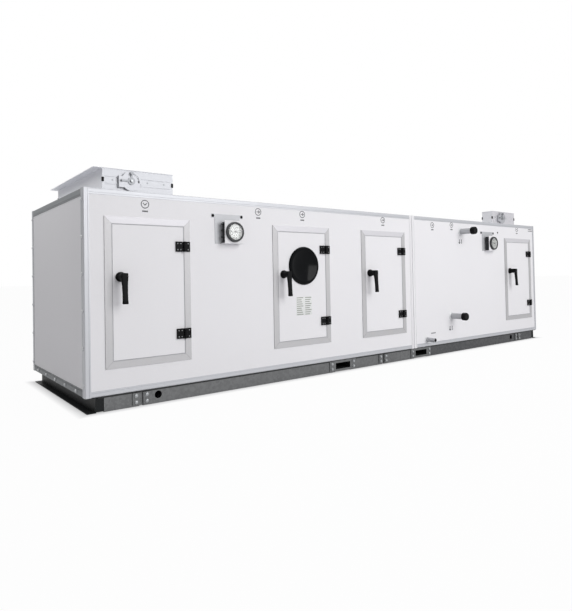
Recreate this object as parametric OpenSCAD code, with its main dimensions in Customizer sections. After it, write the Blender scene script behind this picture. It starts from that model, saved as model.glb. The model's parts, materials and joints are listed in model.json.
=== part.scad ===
// Air handling unit: two insulated sections on a steel base frame, with hinged
// inspection doors, blade dampers on the roof, pressure gauges and coil connections.
// The front of the unit faces -Y and the origin is the middle of the base underside.

/* [Casing] */
// Length of the casing over both sections
casing_l = 4460; // [4300:10:4900]
// Depth of the casing from front to rear
casing_w = 1120; // [1060:10:1300]
// Height of the casing above the base
casing_h = 1050; // [1020:10:1300]
// Length of the left section
left_section_l = 2531; // [2450:1:2600]
// Gap between the two sections, closed by the gasket
section_gap = 4; // [2:0.5:8]
// Width of the edge profiles as seen on the front
post_w = 30; // [26:1:36]
// Depth of the edge profiles as seen on the ends
post_d = 40; // [36:1:48]
// Height of the edge rails that run lengthwise
long_rail_h = 30; // [26:1:36]
// Height of the edge rails that run across
cross_rail_h = 40; // [34:1:50]
// Radius of the outer edge of the edge profiles
profile_r = 6; // [3:0.5:10]
// Width of the groove along the edge profiles
groove_w = 2.5; // [1.5:0.5:4]
// Depth of the groove along the edge profiles
groove_d = 2; // [1:0.5:3]
// Distance of the groove from the inner edge of a profile
groove_in = 7; // [5:0.5:10]
// How far the panels lie behind the faces of the edge profiles
panel_recess = 2; // [1:0.5:4]
// Inset of the section gasket from the casing faces
gasket_inset = 8; // [6:1:12]
// Width of the section gasket strip
gasket_w = 18; // [12:1:20]

/* [Base] */
// Height of the base frame
base_h = 80; // [70:1:120]
// Sheet thickness of the base channels
base_sheet = 4; // [3:0.5:6]
// Setback of the side rails behind the casing face
rail_inset = 8; // [7:0.5:14]
// Flange width of the side rails
rail_flange = 45; // [38:1:60]
// Distance from the casing end to the end of a side rail
rail_end = 95; // [85:1:130]
// Distance from the casing end to the flange tips of the end rails
end_rail_lip = 10; // [4:1:16]
// Flange width of the end rails
end_rail_flange = 46; // [38:1:56]
// Spacing of the cross rails under the floor
cross_pitch = 1200; // [1100:10:1250]
// Width of a cross rail
cross_w = 46; // [38:1:60]
// Length of the corner gussets
gusset_l = 110; // [80:1:140]
// Diameter of the lifting holes
lift_d = 41; // [30:0.5:46]
// Distance from the casing end to the lifting hole on the left
lift_left = 386; // [370:1:480]
// Distance from the casing end to the lifting hole on the right
lift_right = 478; // [440:1:560]
// Height of the lifting holes above the ground
lift_z = 45; // [40:1:48]
// Gap where two lengths of side rail meet
joint_gap = 20; // [10:1:30]
// Distance from the casing end to the rail joint on the left
joint_left = 290; // [260:1:310]
// Distance from the middle of the unit back to the rail joint in the middle
joint_middle = 58; // [50:1:120]
// Distance from the casing end to the rail joint on the right
joint_right = 362; // [330:1:380]
// Width of a rail joint plate
cleat_w = 38; // [30:1:44]
// Height of a rail joint plate
cleat_h = 62; // [50:1:66]
// Thickness of a rail joint plate
cleat_t = 5; // [3:0.5:6]
// Clear width of a fork pocket
fork_w = 138; // [120:1:160]
// Clear height of a fork pocket
fork_h = 42; // [36:1:48]
// Wall of a fork pocket
fork_wall = 3; // [2:0.5:5]
// Width of the face plate around a fork pocket
fork_plate_w = 250; // [230:1:280]
// Thickness of the face plate around a fork pocket
fork_plate_t = 4; // [3:0.5:6]
// Distance from the left end to the middle of the first fork pocket
fork_left = 1756; // [1650:1:1800]
// Distance from the section joint to the middle of the second fork pocket
fork_right = 81; // [80:1:160]

/* [Doors] */
// Width of a door frame outside
door_w = 480; // [440:1:520]
// Height of a door frame outside
door_h = 780; // [700:1:800]
// Height of a door frame above the casing underside
door_z = 132; // [110:1:150]
// Width of the door frame face
door_face = 36; // [30:1:44]
// How far the door frame stands proud of the casing
door_proud = 3; // [2:0.5:6]
// Overlap of the door frame face on the wall
door_lap = 12; // [8:1:16]
// Distance from the left end to the first door frame
door_margin_left = 103; // [80:1:160]
// Distance from the third door frame to the section joint
door_margin_seam = 94; // [80:1:120]
// Gap between the second and third door frames
door_pair_gap = 315; // [280:1:360]
// Distance from the fourth door frame to the right end
door_margin_right = 87; // [75:1:140]
// Gap round the door leaf
leaf_gap = 5; // [5:0.5:8]
// Step from the outer skin of a leaf to its core
leaf_step = 3; // [2:0.5:6]
// How far the leaf stands proud of the casing
leaf_proud = 2; // [1:0.5:3]
// Thickness of the outer skin of a leaf
leaf_skin = 3; // [2:0.5:4]
// Thickness of a door leaf
leaf_t = 32; // [28:1:34]
// Width of the stop behind a door leaf
stop_lip = 14; // [11:1:20]
// Gap between a closed leaf and its stop
stop_gap = 5; // [5:0.5:6]
// Opening angle at which the doors are drawn
door_angle = 0; // [0:1:120]

/* [Hinges and handles] */
// Distance between the two hinges of a door
hinge_pitch = 481; // [420:1:520]
// Distance of the hinge pin in front of the casing
hinge_out = 13; // [13:0.5:16]
// Radius of a hinge knuckle
knuckle_r = 9; // [7:0.5:9]
// Height of one of the three knuckles
knuckle_h = 18; // [14:0.5:22]
// Clearance between moving hinge faces
hinge_gap = 1; // [0.5:0.1:1.5]
// Radius of a hinge pin
pin_r = 4; // [3:0.25:5]
// Running clearance round pins, spindles and shafts
running = 0.1; // [0.05:0.05:0.2]
// Reach of a hinge half on the door leaf
hinge_leaf_w = 50; // [40:1:60]
// Reach of a hinge half on the door frame
hinge_frame_w = 35; // [28:1:36]
// Thickness of a hinge plate
hinge_t = 8; // [6:0.5:9]
// Distance of the handle from the left edge of a door frame
handle_in = 80; // [70:1:110]
// Height of the handles above the casing underside
handle_z = 600; // [560:1:640]
// Radius of a handle rose
rose_r = 25.5; // [20:0.5:26]
// Thickness of a handle rose
rose_t = 10; // [8:0.5:14]
// Radius of a handle neck
neck_r = 15; // [12:0.5:16]
// Distance from the rose to the middle of the lever
lever_out = 51; // [45:1:60]
// Length of a lever from its axis to the round of its tip
lever_l = 127; // [110:1:150]
// Radius of a lever at its axis
lever_r = 18; // [17:0.5:20]
// Radius of a lever at its tip
lever_tip_r = 12; // [8:0.5:14]
// Step from the round ends of a lever in to its bar
lever_waist = 1.5; // [1:0.25:3]
// Thickness of a lever
lever_t = 15; // [12:0.5:18]
// Radius of a handle spindle
spindle_r = 5; // [4:0.25:6]
// Radius of the nut that holds a spindle behind the leaf
nut_r = 12; // [9:0.5:15]
// Thickness of the nut that holds a spindle
nut_t = 4; // [3:0.5:5]
// Gap between a turning handle and its seat
handle_gap = 0.3; // [0.2:0.1:0.5]

/* [Sight glass] */
// Outer radius of the sight glass ring
sight_r = 125; // [110:1:130]
// Radius of the clear pane
pane_r = 100; // [90:1:104]
// Radius of the cut-out in the door leaf
sight_cut_r = 110; // [106:1:112]
// Height of the sight glass above the casing underside
sight_z = 654; // [620:1:680]
// Distance of the sight glass from the left edge of its door frame
sight_in = 249; // [242:1:252]
// Thickness of the ring in front of the leaf
sight_lip = 12; // [8:1:16]
// Thickness of the pane
pane_t = 8; // [5:0.5:10]

/* [Gauges] */
// Distance from the left end to the first gauge
gauge_left = 832; // [760:1:900]
// Place of the second gauge, as a share of the wall left of the fourth door
gauge_share = 0.7872; // [0.76:0.001:0.81]
// Distance of the gauges below the top of the casing
gauge_drop = 197; // [180:1:260]
// Width of a gauge bracket
bracket_w = 130; // [126:1:150]
// Height of the front plate of a gauge bracket
bracket_h = 135; // [128:1:150]
// Distance of the front plate in front of the casing
bracket_out = 46; // [44:1:70]
// Sheet thickness of a gauge bracket
bracket_t = 3; // [2:0.5:4]
// Width of the wall plate of a gauge bracket
wall_plate_w = 170; // [160:1:190]
// Offset of the front plate from the middle of the wall plate
gauge_shift = 20; // [10:1:20]
// Width of the fixing ears of a gauge bracket
ear_w = 216; // [210:1:230]
// Height of the fixing ears of a gauge bracket
ear_h = 22; // [18:1:28]
// Height of the ears above the gauge axis
ear_up = 96; // [92:1:105]
// Radius of the gauge bezel
bezel_r = 59; // [56:0.5:62]
// Depth of the gauge bezel
bezel_d = 13; // [10:0.5:16]
// Radius of the gauge neck in its plate
neck_hole_r = 50; // [46:0.5:52]
// Width and height of the gauge case behind its plate
case_w = 118; // [110:1:120]
// Depth of the gauge case behind its plate
case_d = 34; // [28:1:36]
// Width of the bezel rim
rim_w = 8; // [5:0.5:9]
// Depth of the dial behind the bezel rim
dial_d = 5; // [3:0.5:7]

/* [Pipes] */
// Outside diameter of the coil pipes
coil_d = 48.3; // [42.4:0.1:60.3]
// Wall of the coil pipes
coil_wall = 3.2; // [2.6:0.1:4]
// Reach of the coil pipes in front of the casing
coil_out = 134; // [120:1:150]
// Place of the upper coil pipe, as a share of the wall left of the fourth door
coil_upper_share = 0.4838; // [0.45:0.001:0.52]
// Distance of the upper coil pipe below the top of the casing
coil_upper_drop = 103; // [90:1:130]
// Place of the lower coil pipe, as a share of the wall left of the fourth door
coil_lower_share = 0.3675; // [0.33:0.001:0.41]
// Height of the lower coil pipe above the casing underside
coil_lower_z = 225; // [200:1:260]
// Reach of all pipes behind the wall
pipe_in = 24; // [15:1:40]
// Wall of a pipe cap
cap_wall = 7; // [4:0.5:8]
// Length of a pipe cap
cap_l = 38; // [34:1:50]
// Thickness of the closed end of a pipe cap
cap_end = 12; // [8:0.5:14]
// Clearance between a pipe and what is pushed over it
push_fit = 0.15; // [0.1:0.05:0.3]
// Width of a pipe collar round its pipe
collar_w = 12; // [9:0.5:15]
// Height of a pipe collar in front of the wall
collar_h = 6; // [4:0.5:8]
// Wall of a pipe collar in its hole
collar_wall = 5; // [3:0.5:6]
// Outside diameter of the drain pipe
drain_d = 33.7; // [26.9:0.1:36]
// Wall of the drain pipe
drain_wall = 3.2; // [2.6:0.1:4]
// Reach of the drain pipe in front of the casing
drain_out = 80; // [70:1:100]
// Place of the drain pipe, as a share of the wall left of the fourth door
drain_share = 0.1156; // [0.09:0.001:0.15]
// Height of the drain pipe above the casing underside
drain_z = 56; // [56:1:80]
// Width of the drain collar round its pipe
drain_collar_w = 7; // [6:0.5:7.5]
// Step of the drain pipe where it passes the wall
drain_step = 1.5; // [1:0.25:2.5]

/* [Dampers] */
// Distance from the left end to the flange of the first damper
damper_margin_left = 90; // [70:1:140]
// Distance from the second damper body to the right end
damper_margin_right = 156; // [120:1:200]
// Width of both damper bodies
damper_w = 404; // [380:1:430]
// Distance of the damper bodies from the front of the casing, and of the first from the rear
damper_inset = 121; // [110:1:150]
// Length of the second damper body from front to rear
supply_damper_l = 106; // [90:1:180]
// Height of the dampers
damper_h = 137; // [132:1:160]
// Width of the flanges on the left of the first damper
damper_flange = 47; // [36:1:50]
// Width of the lip along the other sides of the damper flanges
damper_lip = 3; // [2:0.5:4]
// Sheet thickness of the damper frames
damper_sheet = 3; // [2:0.5:4]
// Height of the blade axes above the roof
axis_up = 74; // [68:1:80]
// Height of the ribs along the damper fronts
rib_h = 5; // [4:0.5:8]
// Depth of the ribs along the damper fronts
rib_d = 3; // [2:0.5:4]
// Distance of the ribs above and below the blade axis
rib_off = 20; // [18:0.5:24]
// Distance of the ribs from the sides of a damper
rib_in = 16; // [12:1:24]
// Gap round the damper blades
blade_gap = 5; // [5:0.5:8]
// Thickness of a damper blade at its middle
blade_t = 14; // [14:0.5:20]
// Thickness of a damper blade at its edges
blade_edge = 3; // [2:0.5:4]
// Radius of the blade shafts
shaft_r = 5; // [4:0.25:6]
// Reach of a quadrant plate to the left of its shaft
quadrant_left = 69; // [60:1:74]
// Reach of a quadrant plate to the right of its shaft
quadrant_right = 58; // [56:1:64]
// Reach of the arm of a quadrant plate below its shaft
quadrant_low = 37; // [32:1:40]
// Reach of the arm of a quadrant plate above its shaft
quadrant_high = 24; // [22:1:28]
// Radius of the round part of a quadrant plate
quadrant_r = 53; // [50:0.5:55]
// Distance of a quadrant plate in front of its damper
quadrant_out = 14; // [10:0.5:20]
// Thickness of a quadrant plate
quadrant_t = 3; // [2:0.5:4]
// Radius of the arc slot
slot_r = 42; // [36:0.5:46]
// Width of the arc slot
slot_w = 8; // [7:0.5:10]
// Length of a damper lever
arm_l = 54; // [45:1:58]
// Width of a damper lever
arm_w = 10; // [8:0.5:11]
// Radius of the hub of a damper lever
arm_hub_r = 20; // [14:0.5:22]
// Radius of the round end of a damper lever
arm_tip_r = 6.5; // [6:0.25:7]
// Radius of the grip on a damper lever
grip_r = 5; // [4:0.25:5]
// Thickness of a damper lever
arm_t = 4; // [3:0.5:6]
// Radius of the clamp stud in the arc slot
stud_r = 3; // [2:0.25:3]
// Radius of the clamp knob on a damper lever
knob_r = 9; // [7:0.5:10]
// Height of the clamp knob on a damper lever
knob_h = 9; // [7:0.5:12]
// Gap between a damper lever and its quadrant plate
arm_gap = 1; // [0.5:0.1:1.5]

/* [Hidden] */
$fn = 64;
cut = 1;
panel_white = "#e9ebec";
aluminium = "#c3c7c9";
galvanised = "#8d9092";
black_plastic = "#1d1e20";
rubber_black = "#161617";
steel_pipe = "#a9abac";
glass_tint = "#2b3236";

right_start = left_section_l + section_gap;
spans = [[0, left_section_l], [right_start, casing_l]];

door_x = [
    door_margin_left,
    left_section_l - door_margin_seam - 2 * door_w - door_pair_gap,
    left_section_l - door_margin_seam - door_w,
    casing_l - door_margin_right - door_w
];
clear_w = door_w - 2 * door_face;
clear_h = door_h - 2 * door_face;
leaf_w = clear_w - 2 * leaf_gap;
leaf_h = clear_h - 2 * leaf_gap;
leaf_back = leaf_t - leaf_proud;
wall_cut_low = door_z + door_lap;
wall_cut_high = door_z + door_h - door_lap;
hinge_x = door_w - door_face - leaf_gap / 2;
hinge_h = 3 * knuckle_h + 2 * hinge_gap;
hinge_face = hinge_out - knuckle_r;

lift_x = [lift_left, casing_l - lift_right];
joint_x = [joint_left, casing_l / 2 - joint_middle, casing_l - joint_right];
fork_x = [fork_left, right_start + fork_right];
fork_outer = fork_w + 2 * fork_wall;
rail_breaks = [
    [rail_end, joint_x[0] - joint_gap / 2],
    [joint_x[0] + joint_gap / 2, fork_x[0] - fork_outer / 2],
    [fork_x[0] + fork_outer / 2, joint_x[1] - joint_gap / 2],
    [joint_x[1] + joint_gap / 2, left_section_l],
    [fork_x[1] + fork_outer / 2, joint_x[2] - joint_gap / 2],
    [joint_x[2] + joint_gap / 2, casing_l - rail_end]
];

right_wall = door_x[3] - right_start;
gauge_x = [gauge_left, right_start + right_wall * gauge_share];
gauge_z = casing_h - gauge_drop;

coils = [
    [right_start + right_wall * coil_upper_share, casing_h - coil_upper_drop],
    [right_start + right_wall * coil_lower_share, coil_lower_z]
];
drain = [right_start + right_wall * drain_share, drain_z];
drain_wall_d = drain_d + 2 * drain_step;

roof_z = casing_h - panel_recess;
damper_axis = roof_z + axis_up;
damper_l = [casing_w - 2 * damper_inset, supply_damper_l];
damper_ledge = [damper_flange, damper_lip];
damper_x = [damper_margin_left + damper_flange, casing_l - damper_margin_right - damper_w];
blade_count = 4;
lead_blade = 1;
blade_w = (damper_w - 2 * damper_sheet - (blade_count + 1) * blade_gap) / blade_count;

// Distance of a blade axis from the left side of its damper
function blade_x(k) = damper_sheet + blade_gap + blade_w / 2 + k * (blade_w + blade_gap);

// Sets children out by distances from the left end, the front face and the casing underside
module place(x, y, z) {
    translate([x - casing_l / 2, y - casing_w / 2, z + base_h]) children();
}

// Keeps children on the front and repeats them on the rear
module front_and_rear() {
    children();
    mirror([0, 1, 0]) children();
}

// Keeps children at the left end and repeats them at the right end
module both_ends() {
    children();
    mirror([1, 0, 0]) children();
}

// A slab between two corners, in casing distances
module slab(low, high) {
    place(low[0], low[1], low[2]) cube(high - low);
}

// A round bar along Y, from its near face back into the unit
module bar_y(r, l) {
    rotate([-90, 0, 0]) cylinder(r = r, h = l);
}

// Base frame

// A channel along X with its web on the near side
module channel(l) {
    difference() {
        cube([l, rail_flange, base_h]);
        translate([-cut, base_sheet, base_sheet])
            cube([l + 2 * cut, rail_flange, base_h - 2 * base_sheet]);
    }
}

module base_side_rails() {
    color(galvanised) front_and_rear() difference() {
        for (b = rail_breaks) place(b[0], rail_inset, -base_h) channel(b[1] - b[0]);
        for (x = lift_x)
            place(x, rail_inset - cut, lift_z - base_h) bar_y(lift_d / 2, base_sheet + 2 * cut);
    }
}

module base_end_rails() {
    hollow = end_rail_flange - base_sheet + cut;
    long = casing_w - 2 * rail_inset;
    color(galvanised) both_ends() place(end_rail_lip, rail_inset, -base_h) difference() {
        cube([end_rail_flange, long, base_h]);
        translate([-cut, -cut, base_sheet])
            cube([hollow, long + 2 * cut, base_h - 2 * base_sheet]);
    }
}

module base_cross_rails() {
    long = casing_w - 2 * (rail_inset + rail_flange);
    color(galvanised)
        for (x = [-cross_pitch, 0, cross_pitch]) translate([x - cross_w / 2, -long / 2, 0])
            difference() {
                cube([cross_w, long, base_h]);
                translate([base_sheet, -cut, base_sheet])
                    cube([cross_w, long + 2 * cut, base_h - 2 * base_sheet]);
            }
}

module corner_gussets() {
    high = base_h - 2 * base_sheet;
    start = end_rail_lip + end_rail_flange;
    color(galvanised) both_ends() front_and_rear()
        place(start, rail_inset + base_sheet, base_sheet - base_h)
            cube([gusset_l, base_sheet, high]);
}

module fork_pocket(x) {
    long = casing_w - 2 * (rail_inset - fork_plate_t);
    outer_h = fork_h + 2 * fork_wall;
    translate([x - casing_l / 2, 0, base_h / 2]) difference() {
        union() {
            cube([fork_outer, long, outer_h], center = true);
            front_and_rear() translate([0, (fork_plate_t - long) / 2, 0])
                cube([fork_plate_w, fork_plate_t, base_h - 2 * base_sheet], center = true);
        }
        cube([fork_w, long + 2 * cut, fork_h], center = true);
    }
}

module fork_pockets() {
    color(galvanised) for (x = fork_x) fork_pocket(x);
}

module rail_joint_plates() {
    low = (base_h - cleat_h) / 2 - base_h;
    back_w = joint_gap + 2 * cleat_w;
    color(galvanised) front_and_rear() for (x = joint_x) {
        place(x - back_w / 2, rail_inset + base_sheet, base_sheet - base_h)
            cube([back_w, cleat_t, base_h - 2 * base_sheet]);
        place(x - joint_gap / 2 - cleat_w, rail_inset - cleat_t, low)
            cube([cleat_w, cleat_t, cleat_h]);
        place(x + joint_gap / 2, rail_inset - cleat_t, low) cube([cleat_w, cleat_t, cleat_h]);
    }
}

// Casing

// Outline of an edge profile with its outer corner at the origin
module edge_profile(a, b) {
    difference() {
        square([a, b]);
        difference() {
            translate([-cut, -cut]) square(profile_r + cut);
            translate([profile_r, profile_r]) circle(profile_r);
        }
        translate([a - groove_in - groove_w, -cut]) square([groove_w, groove_d + cut]);
        translate([-cut, b - groove_in - groove_w]) square([groove_d + cut, groove_w]);
    }
}

// Repeats children, drawn at the left end of a section, at both of its ends
module section_ends(s) {
    translate([s[0], 0, 0]) children();
    translate([s[1], 0, 0]) mirror([1, 0, 0]) children();
}

// Repeats children, drawn at the casing underside, at the top edge too
module low_and_high() {
    children();
    translate([0, 0, casing_h]) mirror([0, 0, 1]) children();
}

module casing_posts() {
    color(aluminium) front_and_rear() for (s = spans) place(0, 0, 0) section_ends(s)
        linear_extrude(casing_h) edge_profile(post_w, post_d);
}

module casing_long_rails() {
    color(aluminium) front_and_rear() for (s = spans) place(s[0] + post_w, 0, 0) low_and_high()
        rotate([90, 0, 90]) linear_extrude(s[1] - s[0] - 2 * post_w)
            edge_profile(post_d, long_rail_h);
}

module casing_cross_rails() {
    long = casing_w - 2 * post_d;
    color(aluminium) for (s = spans) place(0, 0, 0) low_and_high() section_ends(s)
        translate([0, post_d + long, 0]) rotate([90, 0, 0]) linear_extrude(long)
            edge_profile(post_w, cross_rail_h);
}

module section_gasket() {
    w = casing_w - 2 * gasket_inset;
    h = casing_h - 2 * gasket_inset;
    color(rubber_black) place(left_section_l, gasket_inset, gasket_inset) difference() {
        cube([section_gap, w, h]);
        translate([-cut, gasket_w, gasket_w])
            cube([section_gap + 2 * cut, w - 2 * gasket_w, h - 2 * gasket_w]);
    }
}

module floor_panels() {
    color(panel_white) for (s = spans)
        slab([s[0] + post_w, post_d, panel_recess],
             [s[1] - post_w, casing_w - post_d, long_rail_h]);
}

module roof_panels() {
    color(panel_white) difference() {
        for (s = spans)
            slab([s[0] + post_w, post_d, casing_h - long_rail_h],
                 [s[1] - post_w, casing_w - post_d, roof_z]);
        for (i = [0, 1])
            slab([damper_x[i] + damper_sheet, damper_inset + damper_sheet, casing_h - long_rail_h - cut],
                 [damper_x[i] + damper_w - damper_sheet, damper_inset + damper_l[i] - damper_sheet,
                  roof_z + cut]);
    }
}

module rear_panels() {
    color(panel_white) for (s = spans)
        slab([s[0] + post_w, casing_w - post_d, long_rail_h],
             [s[1] - post_w, casing_w - panel_recess, casing_h - long_rail_h]);
}

module end_panels() {
    color(panel_white) both_ends()
        slab([panel_recess, post_d, cross_rail_h],
             [post_w, casing_w - post_d, casing_h - cross_rail_h]);
}

// A length of the front wall between two heights
module front_wall(x, z) {
    slab([x[0], panel_recess, z[0]], [x[1], post_d, z[1]]);
}

module front_bands() {
    left = [post_w, left_section_l - post_w];
    right = [door_x[3] + door_lap, casing_l - post_w];
    color(panel_white) for (x = [left, right]) {
        front_wall(x, [long_rail_h, wall_cut_low]);
        front_wall(x, [wall_cut_high, casing_h - long_rail_h]);
    }
}

module front_panels() {
    sides = [for (x = door_x) [x + door_lap, x + door_w - door_lap]];
    piers = [
        [post_w, sides[0][0]],
        [sides[0][1], sides[1][0]],
        [sides[1][1], sides[2][0]],
        [sides[2][1], left_section_l - post_w],
        [sides[3][1], casing_l - post_w]
    ];
    color(panel_white) {
        for (x = piers) front_wall(x, [wall_cut_low, wall_cut_high]);
        difference() {
            front_wall([right_start + post_w, sides[3][0]],
                       [long_rail_h, casing_h - long_rail_h]);
            for (c = coils) place(c[0], 0, c[1]) bar_y(coil_d / 2 + collar_wall, post_d + cut);
            place(drain[0], 0, drain[1]) bar_y(drain_wall_d / 2 + collar_wall, post_d + cut);
        }
    }
}

// Doors

module door_frame(i) {
    back = post_d - panel_recess;
    stop_y = leaf_back + stop_gap;
    color(aluminium) place(door_x[i], 0, door_z) difference() {
        union() {
            translate([0, -door_proud, 0]) cube([door_w, door_proud + panel_recess, door_h]);
            translate([door_lap, panel_recess, door_lap])
                cube([door_w - 2 * door_lap, back, door_h - 2 * door_lap]);
        }
        translate([door_face, -door_proud - cut, door_face])
            cube([clear_w, door_proud + cut + stop_y, clear_h]);
        translate([door_face + stop_lip, 0, door_face + stop_lip])
            cube([clear_w - 2 * stop_lip, post_d + cut, clear_h - 2 * stop_lip]);
    }
}

// Swings what belongs to a door about its hinge pin
module swing(i) {
    place(door_x[i] + hinge_x, -hinge_out, 0) rotate([0, 0, door_angle])
        translate([-hinge_x, hinge_out, 0]) children();
}

module door_leaf(i) {
    skin_in = door_face + leaf_gap;
    core_in = skin_in + leaf_step;
    color(panel_white) swing(i) difference() {
        union() {
            translate([skin_in, -leaf_proud, door_z + skin_in])
                cube([leaf_w, leaf_skin, leaf_h]);
            translate([core_in, leaf_skin - leaf_proud, door_z + core_in])
                cube([leaf_w - 2 * leaf_step, leaf_t - leaf_skin, leaf_h - 2 * leaf_step]);
        }
        translate([handle_in, -leaf_proud - cut, handle_z])
            bar_y(spindle_r + running, leaf_t + 2 * cut);
        if (i == 1)
            translate([sight_in, -leaf_proud - cut, sight_z]) bar_y(sight_cut_r, leaf_t + 2 * cut);
    }
}

// Places children at both hinges of a door, at the middle of the pin
module at_hinges() {
    for (side = [-1, 1])
        translate([hinge_x, -hinge_out, door_z + door_h / 2 + side * hinge_pitch / 2]) children();
}

// One knuckle with the tongue that joins it to its plate
module knuckle(tongue, plate_y) {
    cylinder(r = knuckle_r, h = knuckle_h, center = true);
    translate([min(0, tongue), knuckle_r - plate_y, -knuckle_h / 2])
        cube([abs(tongue), plate_y, knuckle_h]);
}

// Hinge half that is fixed to the door frame, with the pin
module hinge_on_frame() {
    start = knuckle_r + hinge_gap;
    seat = hinge_out - door_proud;
    translate([start, seat - hinge_t, -hinge_h / 2])
        cube([hinge_frame_w - start, hinge_t, hinge_h]);
    for (side = [-1, 1]) translate([0, 0, side * (knuckle_h + hinge_gap)])
        knuckle(start + hinge_gap, hinge_t - hinge_gap);
    cylinder(r = pin_r, h = hinge_h, center = true);
}

// Hinge half that is fixed to the door leaf and turns on the pin
module hinge_on_leaf() {
    start = knuckle_r + hinge_gap;
    seat = hinge_out - leaf_proud;
    difference() {
        union() {
            translate([-hinge_leaf_w, seat - hinge_t - hinge_gap, -hinge_h / 2])
                cube([hinge_leaf_w - start, hinge_t + hinge_gap, hinge_h]);
            knuckle(-start - hinge_gap, hinge_t - hinge_gap);
        }
        cylinder(r = pin_r + running, h = hinge_h + cut, center = true);
    }
}

module frame_hinges() {
    color(black_plastic) for (x = door_x) place(x, 0, 0) at_hinges() hinge_on_frame();
}

module door_fittings(i) {
    color(black_plastic) swing(i) {
        at_hinges() hinge_on_leaf();
        translate([handle_in, -leaf_proud - rose_t, handle_z]) difference() {
            bar_y(rose_r, rose_t);
            translate([0, -cut, 0]) bar_y(spindle_r + running, rose_t + 2 * cut);
        }
    }
}

// Outline of a bar that tapers between two round ends, hanging down from the origin
module tapered_bar(r1, r2, l) {
    top = r1 - lever_waist;
    tip = r2 - lever_waist;
    circle(r1);
    translate([0, -l]) circle(r2);
    polygon([[top, 0], [-top, 0], [-tip, -l], [tip, -l]]);
}

module door_handle(i) {
    rose_face = leaf_proud + rose_t;
    neck = lever_out - handle_gap;
    through = rose_face + handle_gap + leaf_back + handle_gap + nut_t;
    color(black_plastic) swing(i) translate([handle_in, -rose_face - handle_gap, handle_z]) {
        translate([0, -neck, 0]) bar_y(neck_r, neck);
        translate([0, -neck + lever_t / 2, 0]) rotate([90, 0, 0])
            linear_extrude(lever_t) tapered_bar(lever_r, lever_tip_r, lever_l);
        translate([0, -cut, 0]) bar_y(spindle_r, through + cut);
        translate([0, through - nut_t, 0]) bar_y(nut_r, nut_t);
    }
}

module sight_glass_ring() {
    back = leaf_back;
    color(rubber_black) swing(1) translate([sight_in, 0, sight_z]) rotate([-90, 0, 0])
        rotate_extrude($fn = 96) polygon([
            [sight_cut_r, back], [pane_r, back], [pane_r, 0],
            [sight_cut_r, -leaf_proud - sight_lip], [sight_r - sight_lip / 2, -leaf_proud - sight_lip],
            [sight_r, -leaf_proud - sight_lip / 2], [sight_r, -leaf_proud], [sight_cut_r, -leaf_proud]
        ]);
}

module sight_glass_pane() {
    color(glass_tint) swing(1) translate([sight_in, leaf_back / 2 - pane_t / 2, sight_z])
        bar_y(pane_r - push_fit, pane_t);
}

// Gauges

module gauge_bracket(x) {
    front = -bracket_out;
    low = -bracket_h / 2;
    wall = panel_recess - bracket_t;
    color(panel_white) place(x, 0, gauge_z) difference() {
        union() {
            translate([-wall_plate_w / 2, wall, low])
                cube([wall_plate_w, bracket_t, ear_up - low]);
            translate([-ear_w / 2, wall, ear_up - ear_h / 2]) cube([ear_w, bracket_t, ear_h]);
            translate([gauge_shift - bracket_w / 2, front, low]) {
                cube([bracket_w, panel_recess - front, bracket_t]);
                cube([bracket_w, bracket_t, bracket_h]);
            }
        }
        translate([gauge_shift, front - cut, 0]) bar_y(neck_hole_r + push_fit, bracket_t + 2 * cut);
    }
}

module gauge_brackets() {
    for (x = gauge_x) gauge_bracket(x);
}

module pressure_gauges() {
    face = -bracket_out;
    back = face + bracket_t + push_fit;
    color(black_plastic) for (x = gauge_x) place(x + gauge_shift, 0, gauge_z) {
        rotate([-90, 0, 0]) rotate_extrude() polygon([
            [0, face - bezel_d + dial_d], [bezel_r - rim_w, face - bezel_d + dial_d],
            [bezel_r - rim_w, face - bezel_d], [bezel_r - rim_w / 3, face - bezel_d],
            [bezel_r, face - bezel_d + rim_w / 3], [bezel_r, face],
            [neck_hole_r, face], [neck_hole_r, back + cut], [0, back + cut]
        ]);
        translate([-case_w / 2, back, -case_w / 2]) cube([case_w, case_d, case_w]);
    }
}

// Pipes

// A pipe through the front wall, open at both ends
module pipe(r, wall, out) {
    translate([0, -out, 0]) difference() {
        bar_y(r, out + post_d + pipe_in);
        translate([0, -cut, 0]) bar_y(r - wall, out + post_d + pipe_in + 2 * cut);
    }
}

module coil_pipes() {
    color(steel_pipe) for (c = coils) place(c[0], 0, c[1]) pipe(coil_d / 2, coil_wall, coil_out);
}

module pipe_caps() {
    bore = coil_d / 2 + push_fit;
    r = coil_d / 2 + cap_wall;
    color(black_plastic) for (c = coils)
        place(c[0], -coil_out - cap_end, c[1]) rotate([-90, 0, 0]) rotate_extrude() polygon([
            [0, 0], [r - cap_end / 3, 0], [r, cap_end / 3], [r, cap_l],
            [bore, cap_l], [bore, cap_end], [0, cap_end]
        ]);
}

// A flanged sleeve that seals a pipe in the front wall
module collar(pipe_r, flange) {
    bore = pipe_r + push_fit;
    rotate([-90, 0, 0]) rotate_extrude() polygon([
        [bore, panel_recess - collar_h], [bore + flange / 2, panel_recess - collar_h],
        [bore + flange, panel_recess - collar_h / 3], [bore + flange, panel_recess],
        [pipe_r + collar_wall, panel_recess], [pipe_r + collar_wall, post_d], [bore, post_d]
    ]);
}

module pipe_collars() {
    color(panel_white) {
        for (c = coils) place(c[0], 0, c[1]) collar(coil_d / 2, collar_w);
        place(drain[0], 0, drain[1]) collar(drain_wall_d / 2, drain_collar_w);
    }
}

module drain_pipe() {
    step_y = panel_recess - collar_h;
    long = post_d + pipe_in;
    color(steel_pipe) place(drain[0], 0, drain[1]) difference() {
        union() {
            translate([0, -drain_out, 0]) bar_y(drain_d / 2, drain_out);
            translate([0, step_y, 0]) bar_y(drain_wall_d / 2, long - step_y);
        }
        translate([0, -drain_out - cut, 0])
            bar_y(drain_d / 2 - drain_wall, drain_out + long + 2 * cut);
    }
}

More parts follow.
